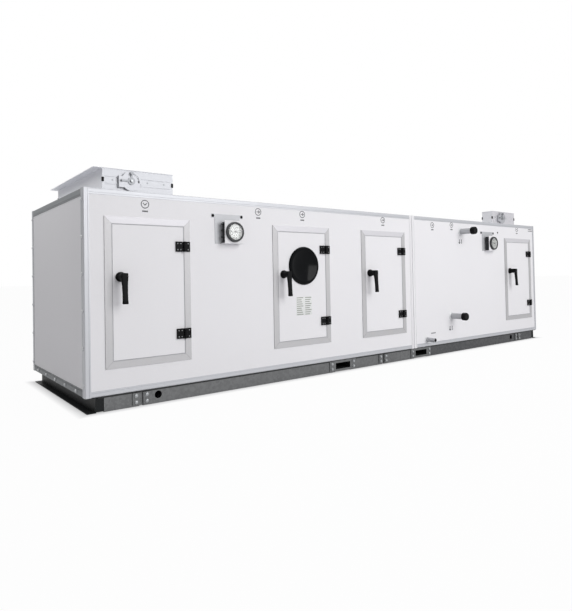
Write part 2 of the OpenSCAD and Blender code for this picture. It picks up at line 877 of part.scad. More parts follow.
// Dampers

module damper_frame(i) {
    sheet = damper_sheet;
    long = damper_l[i];
    ledge = damper_ledge[i];
    color(aluminium) place(damper_x[i], damper_inset, roof_z) difference() {
        union() {
            cube([damper_w, long, damper_h]);
            for (z = [0, damper_h - sheet]) translate([-ledge, -damper_lip, z])
                cube([damper_w + ledge + damper_lip, long + 2 * damper_lip, sheet]);
            for (side = [-1, 1]) translate([rib_in, -rib_d, axis_up + side * rib_off - rib_h / 2])
                cube([damper_w - 2 * rib_in, long + 2 * rib_d, rib_h]);
        }
        translate([sheet, sheet, -cut])
            cube([damper_w - 2 * sheet, long - 2 * sheet, damper_h + 2 * cut]);
        for (k = [0 : blade_count - 1])
            translate([blade_x(k), -cut, axis_up]) bar_y(shaft_r + running, long + 2 * cut);
    }
}

module blade(i, k) {
    round_r = (blade_w * blade_w / 4 + blade_t * blade_t / 4) / blade_t;
    in = damper_sheet + blade_gap;
    long = damper_l[i];
    front = k == lead_blade ? quadrant_out + quadrant_t + arm_gap : 0;
    color(aluminium) place(damper_x[i] + blade_x(k), damper_inset, damper_axis) {
        translate([0, long - in, 0]) rotate([90, 0, 0])
            linear_extrude(long - 2 * in) intersection() {
                square([blade_w, blade_t + cut], center = true);
                union() {
                    intersection() {
                        translate([0, blade_t / 2 - round_r]) circle(round_r, $fn = 180);
                        translate([0, round_r - blade_t / 2]) circle(round_r, $fn = 180);
                    }
                    square([blade_w, blade_edge], center = true);
                }
            }
        translate([0, -front, 0]) bar_y(shaft_r, long + front);
    }
}

// Arc slot of a quadrant, from level to upright on the right of its shaft
module arc_slot() {
    reach = slot_r + slot_w;
    intersection() {
        difference() {
            circle(slot_r + slot_w / 2);
            circle(slot_r - slot_w / 2);
        }
        translate([-slot_w, -slot_w]) square(reach + slot_w);
    }
}

// Outline of a quadrant plate round its shaft
module quadrant_outline() {
    tab = quadrant_r / 2;
    circle(quadrant_r);
    translate([-quadrant_left, -quadrant_low]) square([quadrant_left, quadrant_low + quadrant_high]);
    translate([0, -tab / 2]) square([quadrant_right, tab]);
}

// A leg that carries a quadrant plate, from the plate back to the damper front
module quadrant_leg(x, low, high) {
    translate([x, -quadrant_out, low]) difference() {
        cube([quadrant_t, quadrant_out, high - low]);
        for (side = [-1, 1])
            translate([-cut, quadrant_out - rib_d, side * rib_off - rib_h / 2 - low])
                cube([quadrant_t + 2 * cut, rib_d + cut, rib_h]);
    }
}

module damper_quadrant(i) {
    color(galvanised) place(damper_x[i] + blade_x(lead_blade), damper_inset, damper_axis) {
        translate([0, -quadrant_out, 0]) rotate([90, 0, 0]) linear_extrude(quadrant_t)
            difference() {
                quadrant_outline();
                arc_slot();
                circle(shaft_r + running);
            }
        quadrant_leg(-quadrant_left, -quadrant_low, quadrant_high);
        quadrant_leg(quadrant_right - quadrant_t, -quadrant_r / 4, quadrant_r / 4);
    }
}

module damper_quadrants() {
    for (i = [0, 1]) damper_quadrant(i);
}

// Outline of one arm of a damper lever, hanging down from the origin
module arm_outline(l) {
    translate([-arm_w / 2, -l]) square([arm_w, l]);
    translate([0, -l]) circle(arm_tip_r);
}

module damper_lever(i) {
    front = damper_inset - quadrant_out - quadrant_t - arm_gap;
    color(galvanised) place(damper_x[i] + blade_x(lead_blade), front, damper_axis) {
        rotate([90, 0, 0]) linear_extrude(arm_t) {
            circle(arm_hub_r);
            rotate(-90) arm_outline(arm_l);
            rotate(180) arm_outline(slot_r);
        }
        translate([0, 0, slot_r]) {
            translate([0, -arm_t - knob_h, 0]) bar_y(knob_r, knob_h);
            bar_y(stud_r, arm_gap + quadrant_t);
        }
        translate([-arm_l, -arm_t - knob_h, 0]) bar_y(grip_r, knob_h);
    }
}

base_side_rails();
base_end_rails();
base_cross_rails();
corner_gussets();
fork_pockets();
rail_joint_plates();
casing_posts();
casing_long_rails();
casing_cross_rails();
section_gasket();
floor_panels();
roof_panels();
rear_panels();
end_panels();
front_bands();
front_panels();
door_frame(0);  // door_frame_1
door_frame(1);  // door_frame_2
door_frame(2);  // door_frame_3
door_frame(3);  // door_frame_4
frame_hinges();
door_leaf(0);  // door_leaf_1
door_leaf(1);  // door_leaf_2
door_leaf(2);  // door_leaf_3
door_leaf(3);  // door_leaf_4
door_fittings(0);  // door_fittings_1
door_fittings(1);  // door_fittings_2
door_fittings(2);  // door_fittings_3
door_fittings(3);  // door_fittings_4
door_handle(0);  // door_handle_1
door_handle(1);  // door_handle_2
door_handle(2);  // door_handle_3
door_handle(3);  // door_handle_4
sight_glass_ring();
sight_glass_pane();
gauge_brackets();
pressure_gauges();
coil_pipes();
pipe_caps();
pipe_collars();
drain_pipe();
damper_frame(0);  // return_damper_frame
damper_frame(1);  // supply_damper_frame
damper_quadrants();
damper_lever(0);  // return_lever
damper_lever(1);  // supply_lever
blade(0, 0);  // return_blade_1
blade(0, 1);  // return_blade_2
blade(0, 2);  // return_blade_3
blade(0, 3);  // return_blade_4
blade(1, 0);  // supply_blade_1
blade(1, 1);  // supply_blade_2
blade(1, 2);  // supply_blade_3
blade(1, 3);  // supply_blade_4
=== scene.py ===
"""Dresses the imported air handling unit: finishes, fasteners, dials, seals, studio and camera.

Places are given as casing distances in millimetres: from the left end, behind the front face
and above the casing underside. They become metres of the shared frame in one function.
"""

from __future__ import annotations

import json
import logging
import math
from contextlib import contextmanager
from dataclasses import dataclass, replace
from enum import Enum
from typing import Callable, Iterator, Sequence

import bmesh
import bpy
from bpy.types import Material, NodeOutputs, NodeSocket, NodeTree, Object, World
from mathutils import Matrix, Vector

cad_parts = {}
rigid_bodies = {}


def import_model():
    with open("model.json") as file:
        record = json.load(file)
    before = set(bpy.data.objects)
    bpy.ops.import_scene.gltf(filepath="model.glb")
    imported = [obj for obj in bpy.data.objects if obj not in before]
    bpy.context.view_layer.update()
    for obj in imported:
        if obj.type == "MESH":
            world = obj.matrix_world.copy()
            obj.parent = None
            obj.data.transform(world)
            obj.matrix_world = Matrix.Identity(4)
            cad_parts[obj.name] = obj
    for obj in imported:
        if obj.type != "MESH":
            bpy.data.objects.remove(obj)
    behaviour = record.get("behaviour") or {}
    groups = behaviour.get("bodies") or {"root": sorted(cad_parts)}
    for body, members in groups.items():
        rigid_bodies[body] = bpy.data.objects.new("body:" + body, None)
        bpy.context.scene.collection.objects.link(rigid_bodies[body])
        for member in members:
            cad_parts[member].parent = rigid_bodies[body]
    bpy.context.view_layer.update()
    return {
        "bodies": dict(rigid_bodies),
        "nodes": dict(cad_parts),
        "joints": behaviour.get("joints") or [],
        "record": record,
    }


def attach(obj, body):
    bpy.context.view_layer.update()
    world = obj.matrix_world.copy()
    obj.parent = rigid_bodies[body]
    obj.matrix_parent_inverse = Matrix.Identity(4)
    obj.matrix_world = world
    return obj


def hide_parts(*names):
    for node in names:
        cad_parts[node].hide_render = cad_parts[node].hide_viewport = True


LOG = logging.getLogger("air_handling_unit")

MM = 0.001
CASING_L = 4460.0
CASING_W = 1120.0
CASING_H = 1050.0
BASE_H = 80.0
FIXED = "casing"
ORIGIN = Vector((0, 0, 0))
UPRIGHT = Vector((0, 0, 1))
WHITE = (1.0, 1.0, 1.0, 1.0)
# Cosines above which a face looks straight, or at least partly, along a direction
FACING = 0.9
PARTLY = 0.5
# Distance in metres within which two faces count as level
LEVEL = 1e-6
# Tones of the fine pattern between which a finish goes from its lowest to its highest roughness
TONE_SPAN = (0.2, 0.8)

FaceTest = Callable[[Vector, Vector], bool]
Pairs = tuple[tuple[float, float], ...]
Triple = tuple[float, float, float]


def at(x: float, y: float, z: float) -> Vector:
    """Turns casing distances in millimetres into a point of the shared frame in metres."""
    return Vector((x - CASING_L / 2, y - CASING_W / 2, z + BASE_H)) * MM


def spaced(first: float, last: float, count: int) -> list[float]:
    """Returns a number of values at even distances from a first one to a last one."""
    return [first + k * (last - first) / (count - 1) for k in range(count)]


def linear(code: str) -> tuple[float, float, float, float]:
    """Turns an sRGB hex value into a linear colour.

    Args:
        code: Six hex digits after a hash.

    Returns:
        Red, green, blue and an alpha of one.
    """
    parts = [int(code[i : i + 2], 16) / 255 for i in (1, 3, 5)]
    red, green, blue = (p / 12.92 if p <= 0.04045 else ((p + 0.055) / 1.055) ** 2.4 for p in parts)
    return red, green, blue, 1.0


def blank_tree(owner: Material | World) -> NodeTree:
    """Switches the nodes of a material or world on and empties its tree.

    Args:
        owner: The material or world.

    Returns:
        The empty node tree.
    """
    owner.use_nodes = True
    owner.node_tree.nodes.clear()
    return owner.node_tree


def add_node(
    tree: NodeTree, kind: str, settings: dict | None = None, inputs: dict | None = None
) -> NodeOutputs:
    """Adds one shader node with its settings, values and links.

    Args:
        tree: The node tree that takes the node.
        kind: Blender's name of the node type, without the prefix that all of them share.
        settings: Properties of the node.
        inputs: Values or output sockets by input name or number.

    Returns:
        The outputs of the new node.
    """
    made = tree.nodes.new(f"ShaderNode{kind}")
    for key, value in (settings or {}).items():
        setattr(made, key, value)
    for key, value in (inputs or {}).items():
        if isinstance(value, NodeSocket):
            tree.links.new(value, made.inputs[key])
        else:
            made.inputs[key].default_value = value
    return made.outputs


class Pattern(Enum):
    """How a surface varies: round grain, zinc crystals, or lines drawn along one direction.

    The values scale the pattern along each direction; those of the crystals also keep them apart
    from the grain.
    """

    GRAIN = (1.0, 1.0, 1.0)
    SPANGLE = (1.01, 1.01, 1.01)
    DRAWN_X = (0.02, 1.0, 1.0)
    DRAWN_Y = (1.0, 0.02, 1.0)
    DRAWN_Z = (1.0, 1.0, 0.02)


@dataclass(frozen=True)
class Finish:
    """One real material and how its surface was made.

    The fine pattern and a broad cloud both lead from the main colour to the second one. Real
    grain is mostly too fine to show, so grain_mm is as coarse as it needs to be to be seen.
    """

    name: str
    colour: str
    second: str
    rough: tuple[float, float]
    metallic: float = 0.0
    pattern: Pattern = Pattern.GRAIN
    grain_mm: float = 2.0
    cloud_mm: float = 600.0
    fine: float = 0.3
    cloud: float = 0.3
    bump_mm: float = 0.02
    ior: float = 1.5
    transmission: float = 0.0
    specular: float = 0.5

    def variant(self, name: str, colour: str, second: str, **changes: object) -> Finish:
        """Returns a finish that differs from this one in its name, colours and a few values."""
        return replace(self, name=name, colour=colour, second=second, **changes)

    def make(self) -> Material:
        """Builds the material and its nodes.

        Returns:
            The Blender material.
        """
        material = bpy.data.materials.new(self.name)
        tree = blank_tree(material)
        place = add_node(tree, "TexCoord")["Object"]
        scale = [part / (self.grain_mm * MM) for part in self.pattern.value]
        mapped = add_node(tree, "Mapping", inputs={"Vector": place, "Scale": scale})[0]
        if self.pattern is Pattern.SPANGLE:
            cells = add_node(tree, "TexVoronoi", inputs={"Vector": mapped, "Scale": 1.0})["Color"]
            fine = add_node(tree, "SeparateColor", inputs={0: cells})[0]
        else:
            fine = add_node(tree, "TexNoise", inputs={"Vector": mapped, "Scale": 1.0, "Detail": 3.0})[0]
        broad = {"Vector": place, "Scale": 1 / (self.cloud_mm * MM), "Detail": 4.0}
        cloud = add_node(tree, "TexNoise", inputs=broad)[0]
        share = add_node(tree, "Math", {"operation": "MULTIPLY"}, {0: fine, 1: self.fine})[0]
        clamped = {"operation": "MULTIPLY_ADD", "use_clamp": True}
        tone = add_node(tree, "Math", clamped, {0: cloud, 1: self.cloud, 2: share})[0]
        shades = {0: tone, 6: linear(self.colour), 7: linear(self.second)}
        relief = {"Strength": 0.5, "Distance": self.bump_mm * MM, "Height": fine}
        shine = dict(enumerate((fine, *TONE_SPAN, *self.rough)))
        surface = {
            "Base Color": add_node(tree, "Mix", {"data_type": "RGBA"}, shades)[2],
            "Roughness": add_node(tree, "MapRange", inputs=shine)[0],
            "Normal": add_node(tree, "Bump", inputs=relief)[0],
            "Metallic": self.metallic,
            "IOR": self.ior,
            "Transmission Weight": self.transmission,
            "Specular IOR Level": self.specular,
        }
        shader = add_node(tree, "BsdfPrincipled", inputs=surface)[0]
        add_node(tree, "OutputMaterial", inputs={"Surface": shader})
        return material


class Finishes:
    """The finishes of the unit, each made once."""

    # Coil-coated steel skin, satin: a nearly even cool white with the faint peel of stoved paint
    PANEL = Finish(
        "coil_coated_steel_white", "#eeedef", "#e5e4e7", (0.5, 0.58), grain_mm=7, bump_mm=0.03, specular=0.2
    )
    # Natural anodised aluminium, extruded: fine die lines run along each length
    EXTRUSION_X = Finish(
        "anodised_aluminium_along_x", "#c3c4c8", "#b4b6bb", (0.42, 0.55), 0.45, Pattern.DRAWN_X, 5, fine=0.5
    )
    EXTRUSION_Z = replace(EXTRUSION_X, name="anodised_aluminium_along_z", pattern=Pattern.DRAWN_Z)
    # Cross rails and blades: greyer than the edges, painted shade for the end faces turned away from the
    # light; darker still on the lower halves of the ends, painted shade there too
    EXTRUSION_Y = EXTRUSION_X.variant(
        "painted_shade_aluminium_along_y", "#95989b", "#84878a", pattern=Pattern.DRAWN_Y
    )
    DULLED_Y = EXTRUSION_Y.variant("foot_shade_aluminium_along_y", "#6c6f72", "#5e6164")
    # Anodised aluminium sheet, plain rolled: slightly cloudy and softer in its shine
    SHEET = Finish(
        "anodised_aluminium_sheet", "#b6b7bb", "#a7a9ae", (0.42, 0.56), 0.5, grain_mm=4, bump_mm=0.01
    )
    # Damper faces not turned to the front: rolled sheet painted near white without the anodised grey,
    # painted light standing for the light on their sides and undersides
    BRIGHT = SHEET.variant("painted_light_rolled_aluminium", "#f0f1f5", "#e6e7ec", rough=(0.4, 0.52), metallic=0.1)
    # Door frame profile, anodised like the edges but left with a duller etch
    FRAME = SHEET.variant("etched_aluminium_frame", "#bab9bb", "#aeaeb0", rough=(0.46, 0.6), metallic=0.45)
    # Head strips of those frames and front of the short damper: paler, painted light standing for the light
    # that falls on them
    FRESH = FRAME.variant("painted_light_etched_aluminium", "#d0cfd3", "#c6c5c9", metallic=0.35)
    # Hot-dip galvanised channel: dull zinc crystals about as wide as a fingernail
    ZINC = Finish(
        "hot_dip_galvanised_steel", "#707172", "#616263", (0.42, 0.58), 0.7, Pattern.SPANGLE, 14, 140,
        fine=0.5, cloud=0.5,
    )
    # Rail lengths right of the second fork pocket: the same zinc, painted darker, painted shade
    DULL_ZINC = ZINC.variant(
        "painted_shade_galvanised_steel", "#545557", "#48494b", rough=(0.45, 0.6), metallic=0.6
    )
    # End channels and corner gussets of the base and insides of the fork pockets, painted near black:
    # painted shade
    LACQUER = Finish("painted_shade_black_steel", "#1c1e1f", "#282a2b", (0.42, 0.56), grain_mm=5, specular=0.12)
    # Zinc-plated fasteners: finer than the dipped frame
    PLATED = Finish("zinc_plated_steel", "#a6a8aa", "#85888b", (0.3, 0.45), 0.8, grain_mm=3, cloud_mm=60)
    # Continuously galvanised wall plates of the gauge brackets, even and dull; their grey set darker,
    # partly the zinc and partly painted shade of the gap behind the front plate
    GALVANISED = Finish("galvanised_sheet_and_painted_shade", "#c0c1c4", "#b3b4b8", (0.5, 0.62), 0.3, grain_mm=6, cloud_mm=90)
    # Levers of the dampers, passivated: a darker grey with a soft sheen
    LEVER = Finish("passivated_steel", "#9b9da1", "#8b8d91", (0.42, 0.55), 0.4, grain_mm=4, cloud_mm=60)
    # Glass-filled nylon, moulded with a fine spark-eroded grain
    NYLON = Finish(
        "moulded_nylon_black", "#09090b", "#0f1012", (0.42, 0.56), grain_mm=1.6, bump_mm=0.06, specular=0.09
    )
    # Stainless screws in the hinges: small grey glints
    STAINLESS = Finish("stainless_steel", "#8b8c8e", "#77787a", (0.3, 0.42), 0.6, grain_mm=2, cloud_mm=40)
    # Polished acrylic of the sight glass: deep black ring and bowl, and a smoked pane
    GLOSS = Finish(
        "polished_black_acrylic", "#050608", "#0a0d11", (0.09, 0.15),
        grain_mm=40, bump_mm=0.0, specular=0.09,
    )
    SMOKED = GLOSS.variant(
        "smoked_acrylic_pane", "#14181a", "#1d2326",
        rough=(0.03, 0.05), grain_mm=90, transmission=0.6, specular=0.1,
    )
    # Extruded rubber, dull: black tape and gaskets, grey door seals
    RUBBER = Finish("extruded_rubber_black", "#141415", "#1f2021", (0.6, 0.75), grain_mm=2)
    SEAL = RUBBER.variant("extruded_rubber_grey", "#b4b5b8", "#a8a9ac", rough=(0.55, 0.7))
    # Die-cast gauge case under dark grey lacquer
    CASE = Finish("lacquered_die_cast_case", "#2e2f32", "#222326", (0.34, 0.46), grain_mm=2, specular=0.35)
    # Drawn steel tube with a thin mill scale
    TUBE = Finish("drawn_steel_tube", "#b9babd", "#9fa1a4", (0.36, 0.5), 0.5, Pattern.DRAWN_Y, 4, 120)
    # White ABS mouldings, smooth: caps and collars
    ABS = Finish("moulded_abs_white", "#e6e7e8", "#dadcde", (0.32, 0.4), grain_mm=1.5)
    # Printed card behind the gauge lens, matt inks, and satin label film
    CARD = Finish("printed_dial_card", "#cbcbc9", "#bfbfbd", (0.5, 0.6), grain_mm=1.2)
    INK = CARD.variant("screen_printed_ink", "#2c2d33", "#383940")
    PALE_INK = CARD.variant("pale_printed_ink", "#8d9189", "#9a9d96")
    FILM = Finish("polyester_label_film", "#e6e7e6", "#dcdedc", (0.4, 0.5), grain_mm=2)
    # Polycarbonate lens, clear and bright
    LENS = Finish(
        "clear_polycarbonate_lens", "#f7f8f8", "#f2f4f4", (0.02, 0.04),
        grain_mm=60, bump_mm=0.0, ior=1.58, transmission=1.0,
    )

    _made: dict[str, Material] = {}

    @classmethod
    def material(cls, finish: Finish) -> Material:
        """Looks a finish's Blender material up, and makes it on first use.

        Args:
            finish: The finish.

        Returns:
            Its material.
        """
        if finish.name not in cls._made:
            cls._made[finish.name] = finish.make()
        return cls._made[finish.name]


class Axis(Enum):
    """The direction in which a turned part points, as the turn that gets it there."""

    FRONT = (math.pi / 2, 0.0, 0.0)
    REAR = (-math.pi / 2, 0.0, 0.0)
    LEFT = (0.0, -math.pi / 2, 0.0)
    RIGHT = (0.0, math.pi / 2, 0.0)
    UP = (0.0, 0.0, 0.0)

    @property
    def direction(self) -> Vector:
        """The unit vector along which the part's own Z comes to point."""
        turn = Matrix.Rotation(self.value[1], 3, "Y") @ Matrix.Rotation(self.value[0], 3, "X")
        return turn @ UPRIGHT


class Bench:
    """Hand tools: each works on one object through Blender's operators."""

    @staticmethod
    def clear() -> None:
        """Deselects everything, because the loaded nodes come in selected."""
        bpy.ops.object.select_all(action="DESELECT")

    @classmethod
    def take(cls, obj: Object) -> Object:
        """Makes one object the only selected and active one.

        Args:
            obj: The object.

        Returns:
            The same object.
        """
        cls.clear()
        obj.select_set(True)
        bpy.context.view_layer.objects.active = obj
        return obj

    @classmethod
    def settle(cls, obj: Object) -> Object:
        """Puts an object's place, turn and scale into its mesh.

        Args:
            obj: The object.

        Returns:
            The same object.
        """
        cls.take(obj)
        bpy.ops.object.transform_apply(location=True, rotation=True, scale=True)
        return obj

    @classmethod
    def block(cls, low: Vector, high: Vector) -> Object:
        """Adds a block between two corners.

        Args:
            low: The lowest corner in metres.
            high: The highest corner in metres.

        Returns:
            The block, with its place in its mesh.
        """
        cls.clear()
        bpy.ops.mesh.primitive_cube_add(size=1.0, location=(low + high) / 2)
        obj = bpy.context.object
        obj.scale = high - low
        return cls.settle(obj)

    @classmethod
    def slab(cls, low: Vector, high: Vector, rounding: float, segments: int = 2) -> Object:
        """Adds a block between two corners, with edges rounded by a width in millimetres."""
        return cls.round_edges(cls.block(low, high), rounding, segments)

    @classmethod
    @contextmanager
    def editing(cls, obj: Object) -> Iterator[None]:
        """Opens an object in edit mode with nothing selected, and closes it afterwards.

        Args:
            obj: The object to work on.

        Yields:
            Nothing, once the object is open.
        """
        cls.take(obj)
        bpy.ops.object.mode_set(mode="EDIT")
        bpy.ops.mesh.select_mode(type="FACE")
        bpy.ops.mesh.select_all(action="DESELECT")
        yield
        bpy.ops.object.mode_set(mode="OBJECT")

    @staticmethod
    def pick(test: FaceTest) -> None:
        """Selects faces in edit mode.

        Args:
            test: Tells from a face's middle and normal whether it is picked.
        """
        data = bpy.context.edit_object.data
        mesh = bmesh.from_edit_mesh(data)
        for face in mesh.faces:
            face.select_set(test(face.calc_center_median(), face.normal))
        bmesh.update_edit_mesh(data)

    @classmethod
    def pick_end(cls, direction: Vector) -> None:
        """Selects, in edit mode, the face that lies furthest along a direction and looks that way.

        Args:
            direction: The direction, as a unit vector.
        """
        mesh = bmesh.from_edit_mesh(bpy.context.edit_object.data)
        looking = [face for face in mesh.faces if face.normal.dot(direction) > FACING]
        edge = max(face.calc_center_median().dot(direction) for face in looking) - LEVEL
        cls.pick(lambda middle, normal: normal.dot(direction) > FACING and middle.dot(direction) > edge)

    @staticmethod
    def draw_out(step: Vector, spread: tuple[float, float], centre: Vector) -> None:
        """Carries the picked face on by a step, in edit mode, and spreads it across and in depth."""
        bpy.ops.mesh.extrude_region_move(TRANSFORM_OT_translate={"value": step})
        bpy.ops.transform.resize(value=(*spread, 1.0), center_override=centre)

    @classmethod
    def bore(cls, obj: Object, wall: float) -> Object:
        """Opens a block or drum from front to rear by insetting both faces and bridging them.

        Args:
            obj: The block or drum.
            wall: What is left round the opening, in millimetres.

        Returns:
            The same object.
        """
        with cls.editing(obj):
            cls.pick(lambda middle, normal: abs(normal.y) > FACING)
            bpy.ops.mesh.inset(thickness=wall * MM, use_individual=True)
            bpy.ops.mesh.bridge_edge_loops()
        return obj

    @classmethod
    def round_edges(cls, obj: Object, width: float, segments: int = 2) -> Object:
        """Rounds the sharp edges of an object with an applied bevel.

        Args:
            obj: The object.
            width: Width of the bevel in millimetres.
            segments: Number of faces across it.

        Returns:
            The same object.
        """
        cls.take(obj)
        bevel = obj.modifiers.new("rounding", "BEVEL")
        bevel.width = width * MM
        bevel.segments = segments
        bevel.limit_method = "ANGLE"
        bpy.ops.object.modifier_apply(modifier=bevel.name)
        return obj

    @staticmethod
    def turned(obj: Object, pivot: Vector, angle: float) -> Object:
        """Turns a mesh about a line from front to rear.

        Args:
            obj: The object.
            pivot: A point on the line, in metres.
            angle: The turn in radians, clockwise from the front.

        Returns:
            The same object.
        """
        turn = Matrix.Rotation(angle, 4, "Y")
        obj.data.transform(Matrix.Translation(pivot) @ turn @ Matrix.Translation(-pivot))
        return obj

    @classmethod
    def join(cls, objs: Sequence[Object]) -> Object:
        """Joins objects into the first one.

        Args:
            objs: One or more objects.

        Returns:
            The first object.
        """
        cls.take(objs[0])
        for obj in objs[1:]:
            obj.select_set(True)
        if len(objs) > 1:
            bpy.ops.object.join()
        return objs[0]

    @staticmethod
    def repeat(obj: Object, places: Sequence[Vector]) -> list[Object]:
        """Copies a piece to one or more places, each copy with its own mesh.

        Args:
            obj: The piece, modelled at the frame's origin.
            places: Where each copy goes, in metres.

        Returns:
            The copies; the model itself is removed.
        """
        made = []
        for place in places:
            copy = bpy.data.objects.new(obj.name, obj.data.copy())
            bpy.context.scene.collection.objects.link(copy)
            copy.data.transform(Matrix.Translation(place))
            made.append(copy)
        bpy.data.objects.remove(obj)
        return made

    @classmethod
    def dress(
        cls,
        parts: Sequence[Object],
        name: str,
        finish: Finish,
        slot: str | None = None,
        body: str = FIXED,
        smooth: float = 35.0,
    ) -> Object:
        """Joins a finished piece, names it, gives it its finish and makes it ride on a body.

        Args:
            parts: What the piece consists of.
            name: Its name in the table of pieces.
            finish: What it is made of.
            slot: The record's material slot, where one fits; not used.
            body: The body that carries it.
            smooth: Largest angle in degrees that is shaded round.

        Returns:
            The piece.
        """
        obj = cls.join(parts)
        obj.name = name
        obj.data.name = name
        obj.data.materials.clear()
        obj.data.materials.append(Finishes.material(finish))
        cls.take(obj)
        bpy.ops.object.shade_smooth_by_angle(angle=math.radians(smooth))
        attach(obj, body)
        LOG.info("piece %s rides on %s, %d faces", name, body, len(obj.data.polygons))
        return obj


@dataclass(frozen=True)
class Turning:
    """A turned part in millimetres: a drum whose end is carried on by pairs of inset and rise."""

    radius: float
    depth: float
    sides: int
    steps: Pairs = ()

    def make(self, foot: Vector, axis: Axis = Axis.FRONT) -> Object:
        """Models the part.

        Args:
            foot: Middle of its foot in metres.
            axis: Where it rises to.

        Returns:
            The part, with its place in its mesh.
        """
        out = axis.direction
        Bench.clear()
        bpy.ops.mesh.primitive_cylinder_add(
            vertices=self.sides,
            radius=self.radius * MM,
            depth=self.depth * MM,
            location=foot + out * (self.depth * MM / 2),
            rotation=axis.value,
        )
        obj = Bench.settle(bpy.context.object)
        with Bench.editing(obj):
            Bench.pick_end(out)
            for inward, rise in self.steps:
                if inward:
                    bpy.ops.mesh.inset(thickness=inward * MM, depth=rise * MM)
                else:
                    bpy.ops.mesh.extrude_region_move(TRANSFORM_OT_translate={"value": out * rise * MM})
        return obj


class Fasteners:
    """Small turned parts, each modelled once at the origin and pointing one way."""

    WASHER = Turning(10.5, 1.4, 24, ((0.5, 0.4),))
    HEX_HEAD = Turning(9.2, 4.6, 6, ((1.0, 0.8), (0.8, 0.25)))
    HEX_SEAT = 1.6
    # Pan head with a round driving recess
    PAN_HEAD = Turning(3.6, 0.7, 20, ((0.432, 0.7), (0.9, 0.5), (0.792, 0.0), (0.25, -0.8)))
    # Shares of a cap's radius and rise: its upright foot, then the steps of its dome
    CAP_FOOT = 0.26
    CAP_DOME = ((0.06, 0.26), (0.2, 0.26), (0.3, 0.17), (0.3, 0.05))
    CAP_SIDES = 24

    @classmethod
    def hex_bolt(cls, axis: Axis) -> Object:
        """Models an M10 hexagon bolt head on its washer."""
        washer = cls.WASHER.make(ORIGIN, axis)
        return Bench.join([washer, cls.HEX_HEAD.make(axis.direction * cls.HEX_SEAT * MM, axis)])

    @classmethod
    def cover_cap(cls, axis: Axis, radius: float, rise: float = 3.05) -> Object:
        """Models a domed cap of a radius and rise in millimetres, which hides a screw."""
        dome = tuple((radius * inward, rise * up) for inward, up in cls.CAP_DOME)
        return Turning(radius, rise * cls.CAP_FOOT, cls.CAP_SIDES, dome).make(ORIGIN, axis)


@dataclass
class BaseFrame:
    """The galvanised base: bolts of its joint and fork plates, and the tape under the casing."""

    joints: tuple[float, ...] = (290.0, 2172.0, 4098.0)
    joint_bolt: float = 29.0
    joint_face: float = 3.0
    forks: tuple[float, ...] = (1756.0, 2616.0)
    fork_bolt: float = 103.0
    fork_face: float = 4.0
    rise: float = 17.0
    rail_face: float = 8.0
    tape_end: float = 64.0
    tape_z: tuple[float, float] = (-9.0, -0.4)
    tape_t: float = 1.2

    def tapes(self) -> None:
        """Lays the black sealing tape along the top edge of both side rails; its black is partly a real
        seal and partly a painted shadow line under the casing's edge.
        """
        made = []
        for y in (self.rail_face - self.tape_t, CASING_W - self.rail_face):
            low = at(self.tape_end, y, self.tape_z[0])
            high = at(CASING_L - self.tape_end, y + self.tape_t, self.tape_z[1])
            made.append(Bench.slab(low, high, rounding=0.4))
        Bench.dress(made, "base_sealing_tape", Finishes.RUBBER)

    def build(self) -> None:
        """Models every bolt of the base and its tape, and fits them."""
        self.tapes()
        heights = (-BASE_H / 2 - self.rise, -BASE_H / 2 + self.rise)
        rows = [(x, self.joint_bolt, self.joint_face) for x in self.joints]
        rows += [(x, self.fork_bolt, self.fork_face) for x in self.forks]
        spots = [(x + side * off, y, z) for x, off, y in rows for side in (-1, 1) for z in heights]
        bolts = Bench.repeat(Fasteners.hex_bolt(Axis.FRONT), [at(x, y, z) for x, y, z in spots])
        bolts += Bench.repeat(Fasteners.hex_bolt(Axis.REAR), [at(x, CASING_W - y, z) for x, y, z in spots])
        Bench.dress(bolts, "base_bolts", Finishes.PLATED, "galvanised_steel")


class Mark(Enum):
    """A printed mark as bars: offset across and up, length, width, and turn from level in degrees."""

    FLOW = ((0, 0, 24, 4.2, 0), (6, 4.5, 14, 4.2, -42), (6, -4.5, 14, 4.2, 42))
    DOWN = ((-5, 0, 17, 4.6, -48), (5, 0, 17, 4.6, 48))
    UP = ((-5, 0, 17, 4.6, 48), (5, 0, 17, 4.6, -48))
    CAPTION = ((-12, -38, 7, 8, 0), (-4, -38, 7, 8, 0), (4, -38, 7, 8, 0), (12, -38, 7, 8, 0))
    PIPE = ((-15, 0, 36, 8, 90), (15, 0, 36, 8, 90), (-21, -13, 17, 6, -45), (-9, -13, 17, 6, 45))
    DASH = ((0, 0, 7, 7.5, 0),)


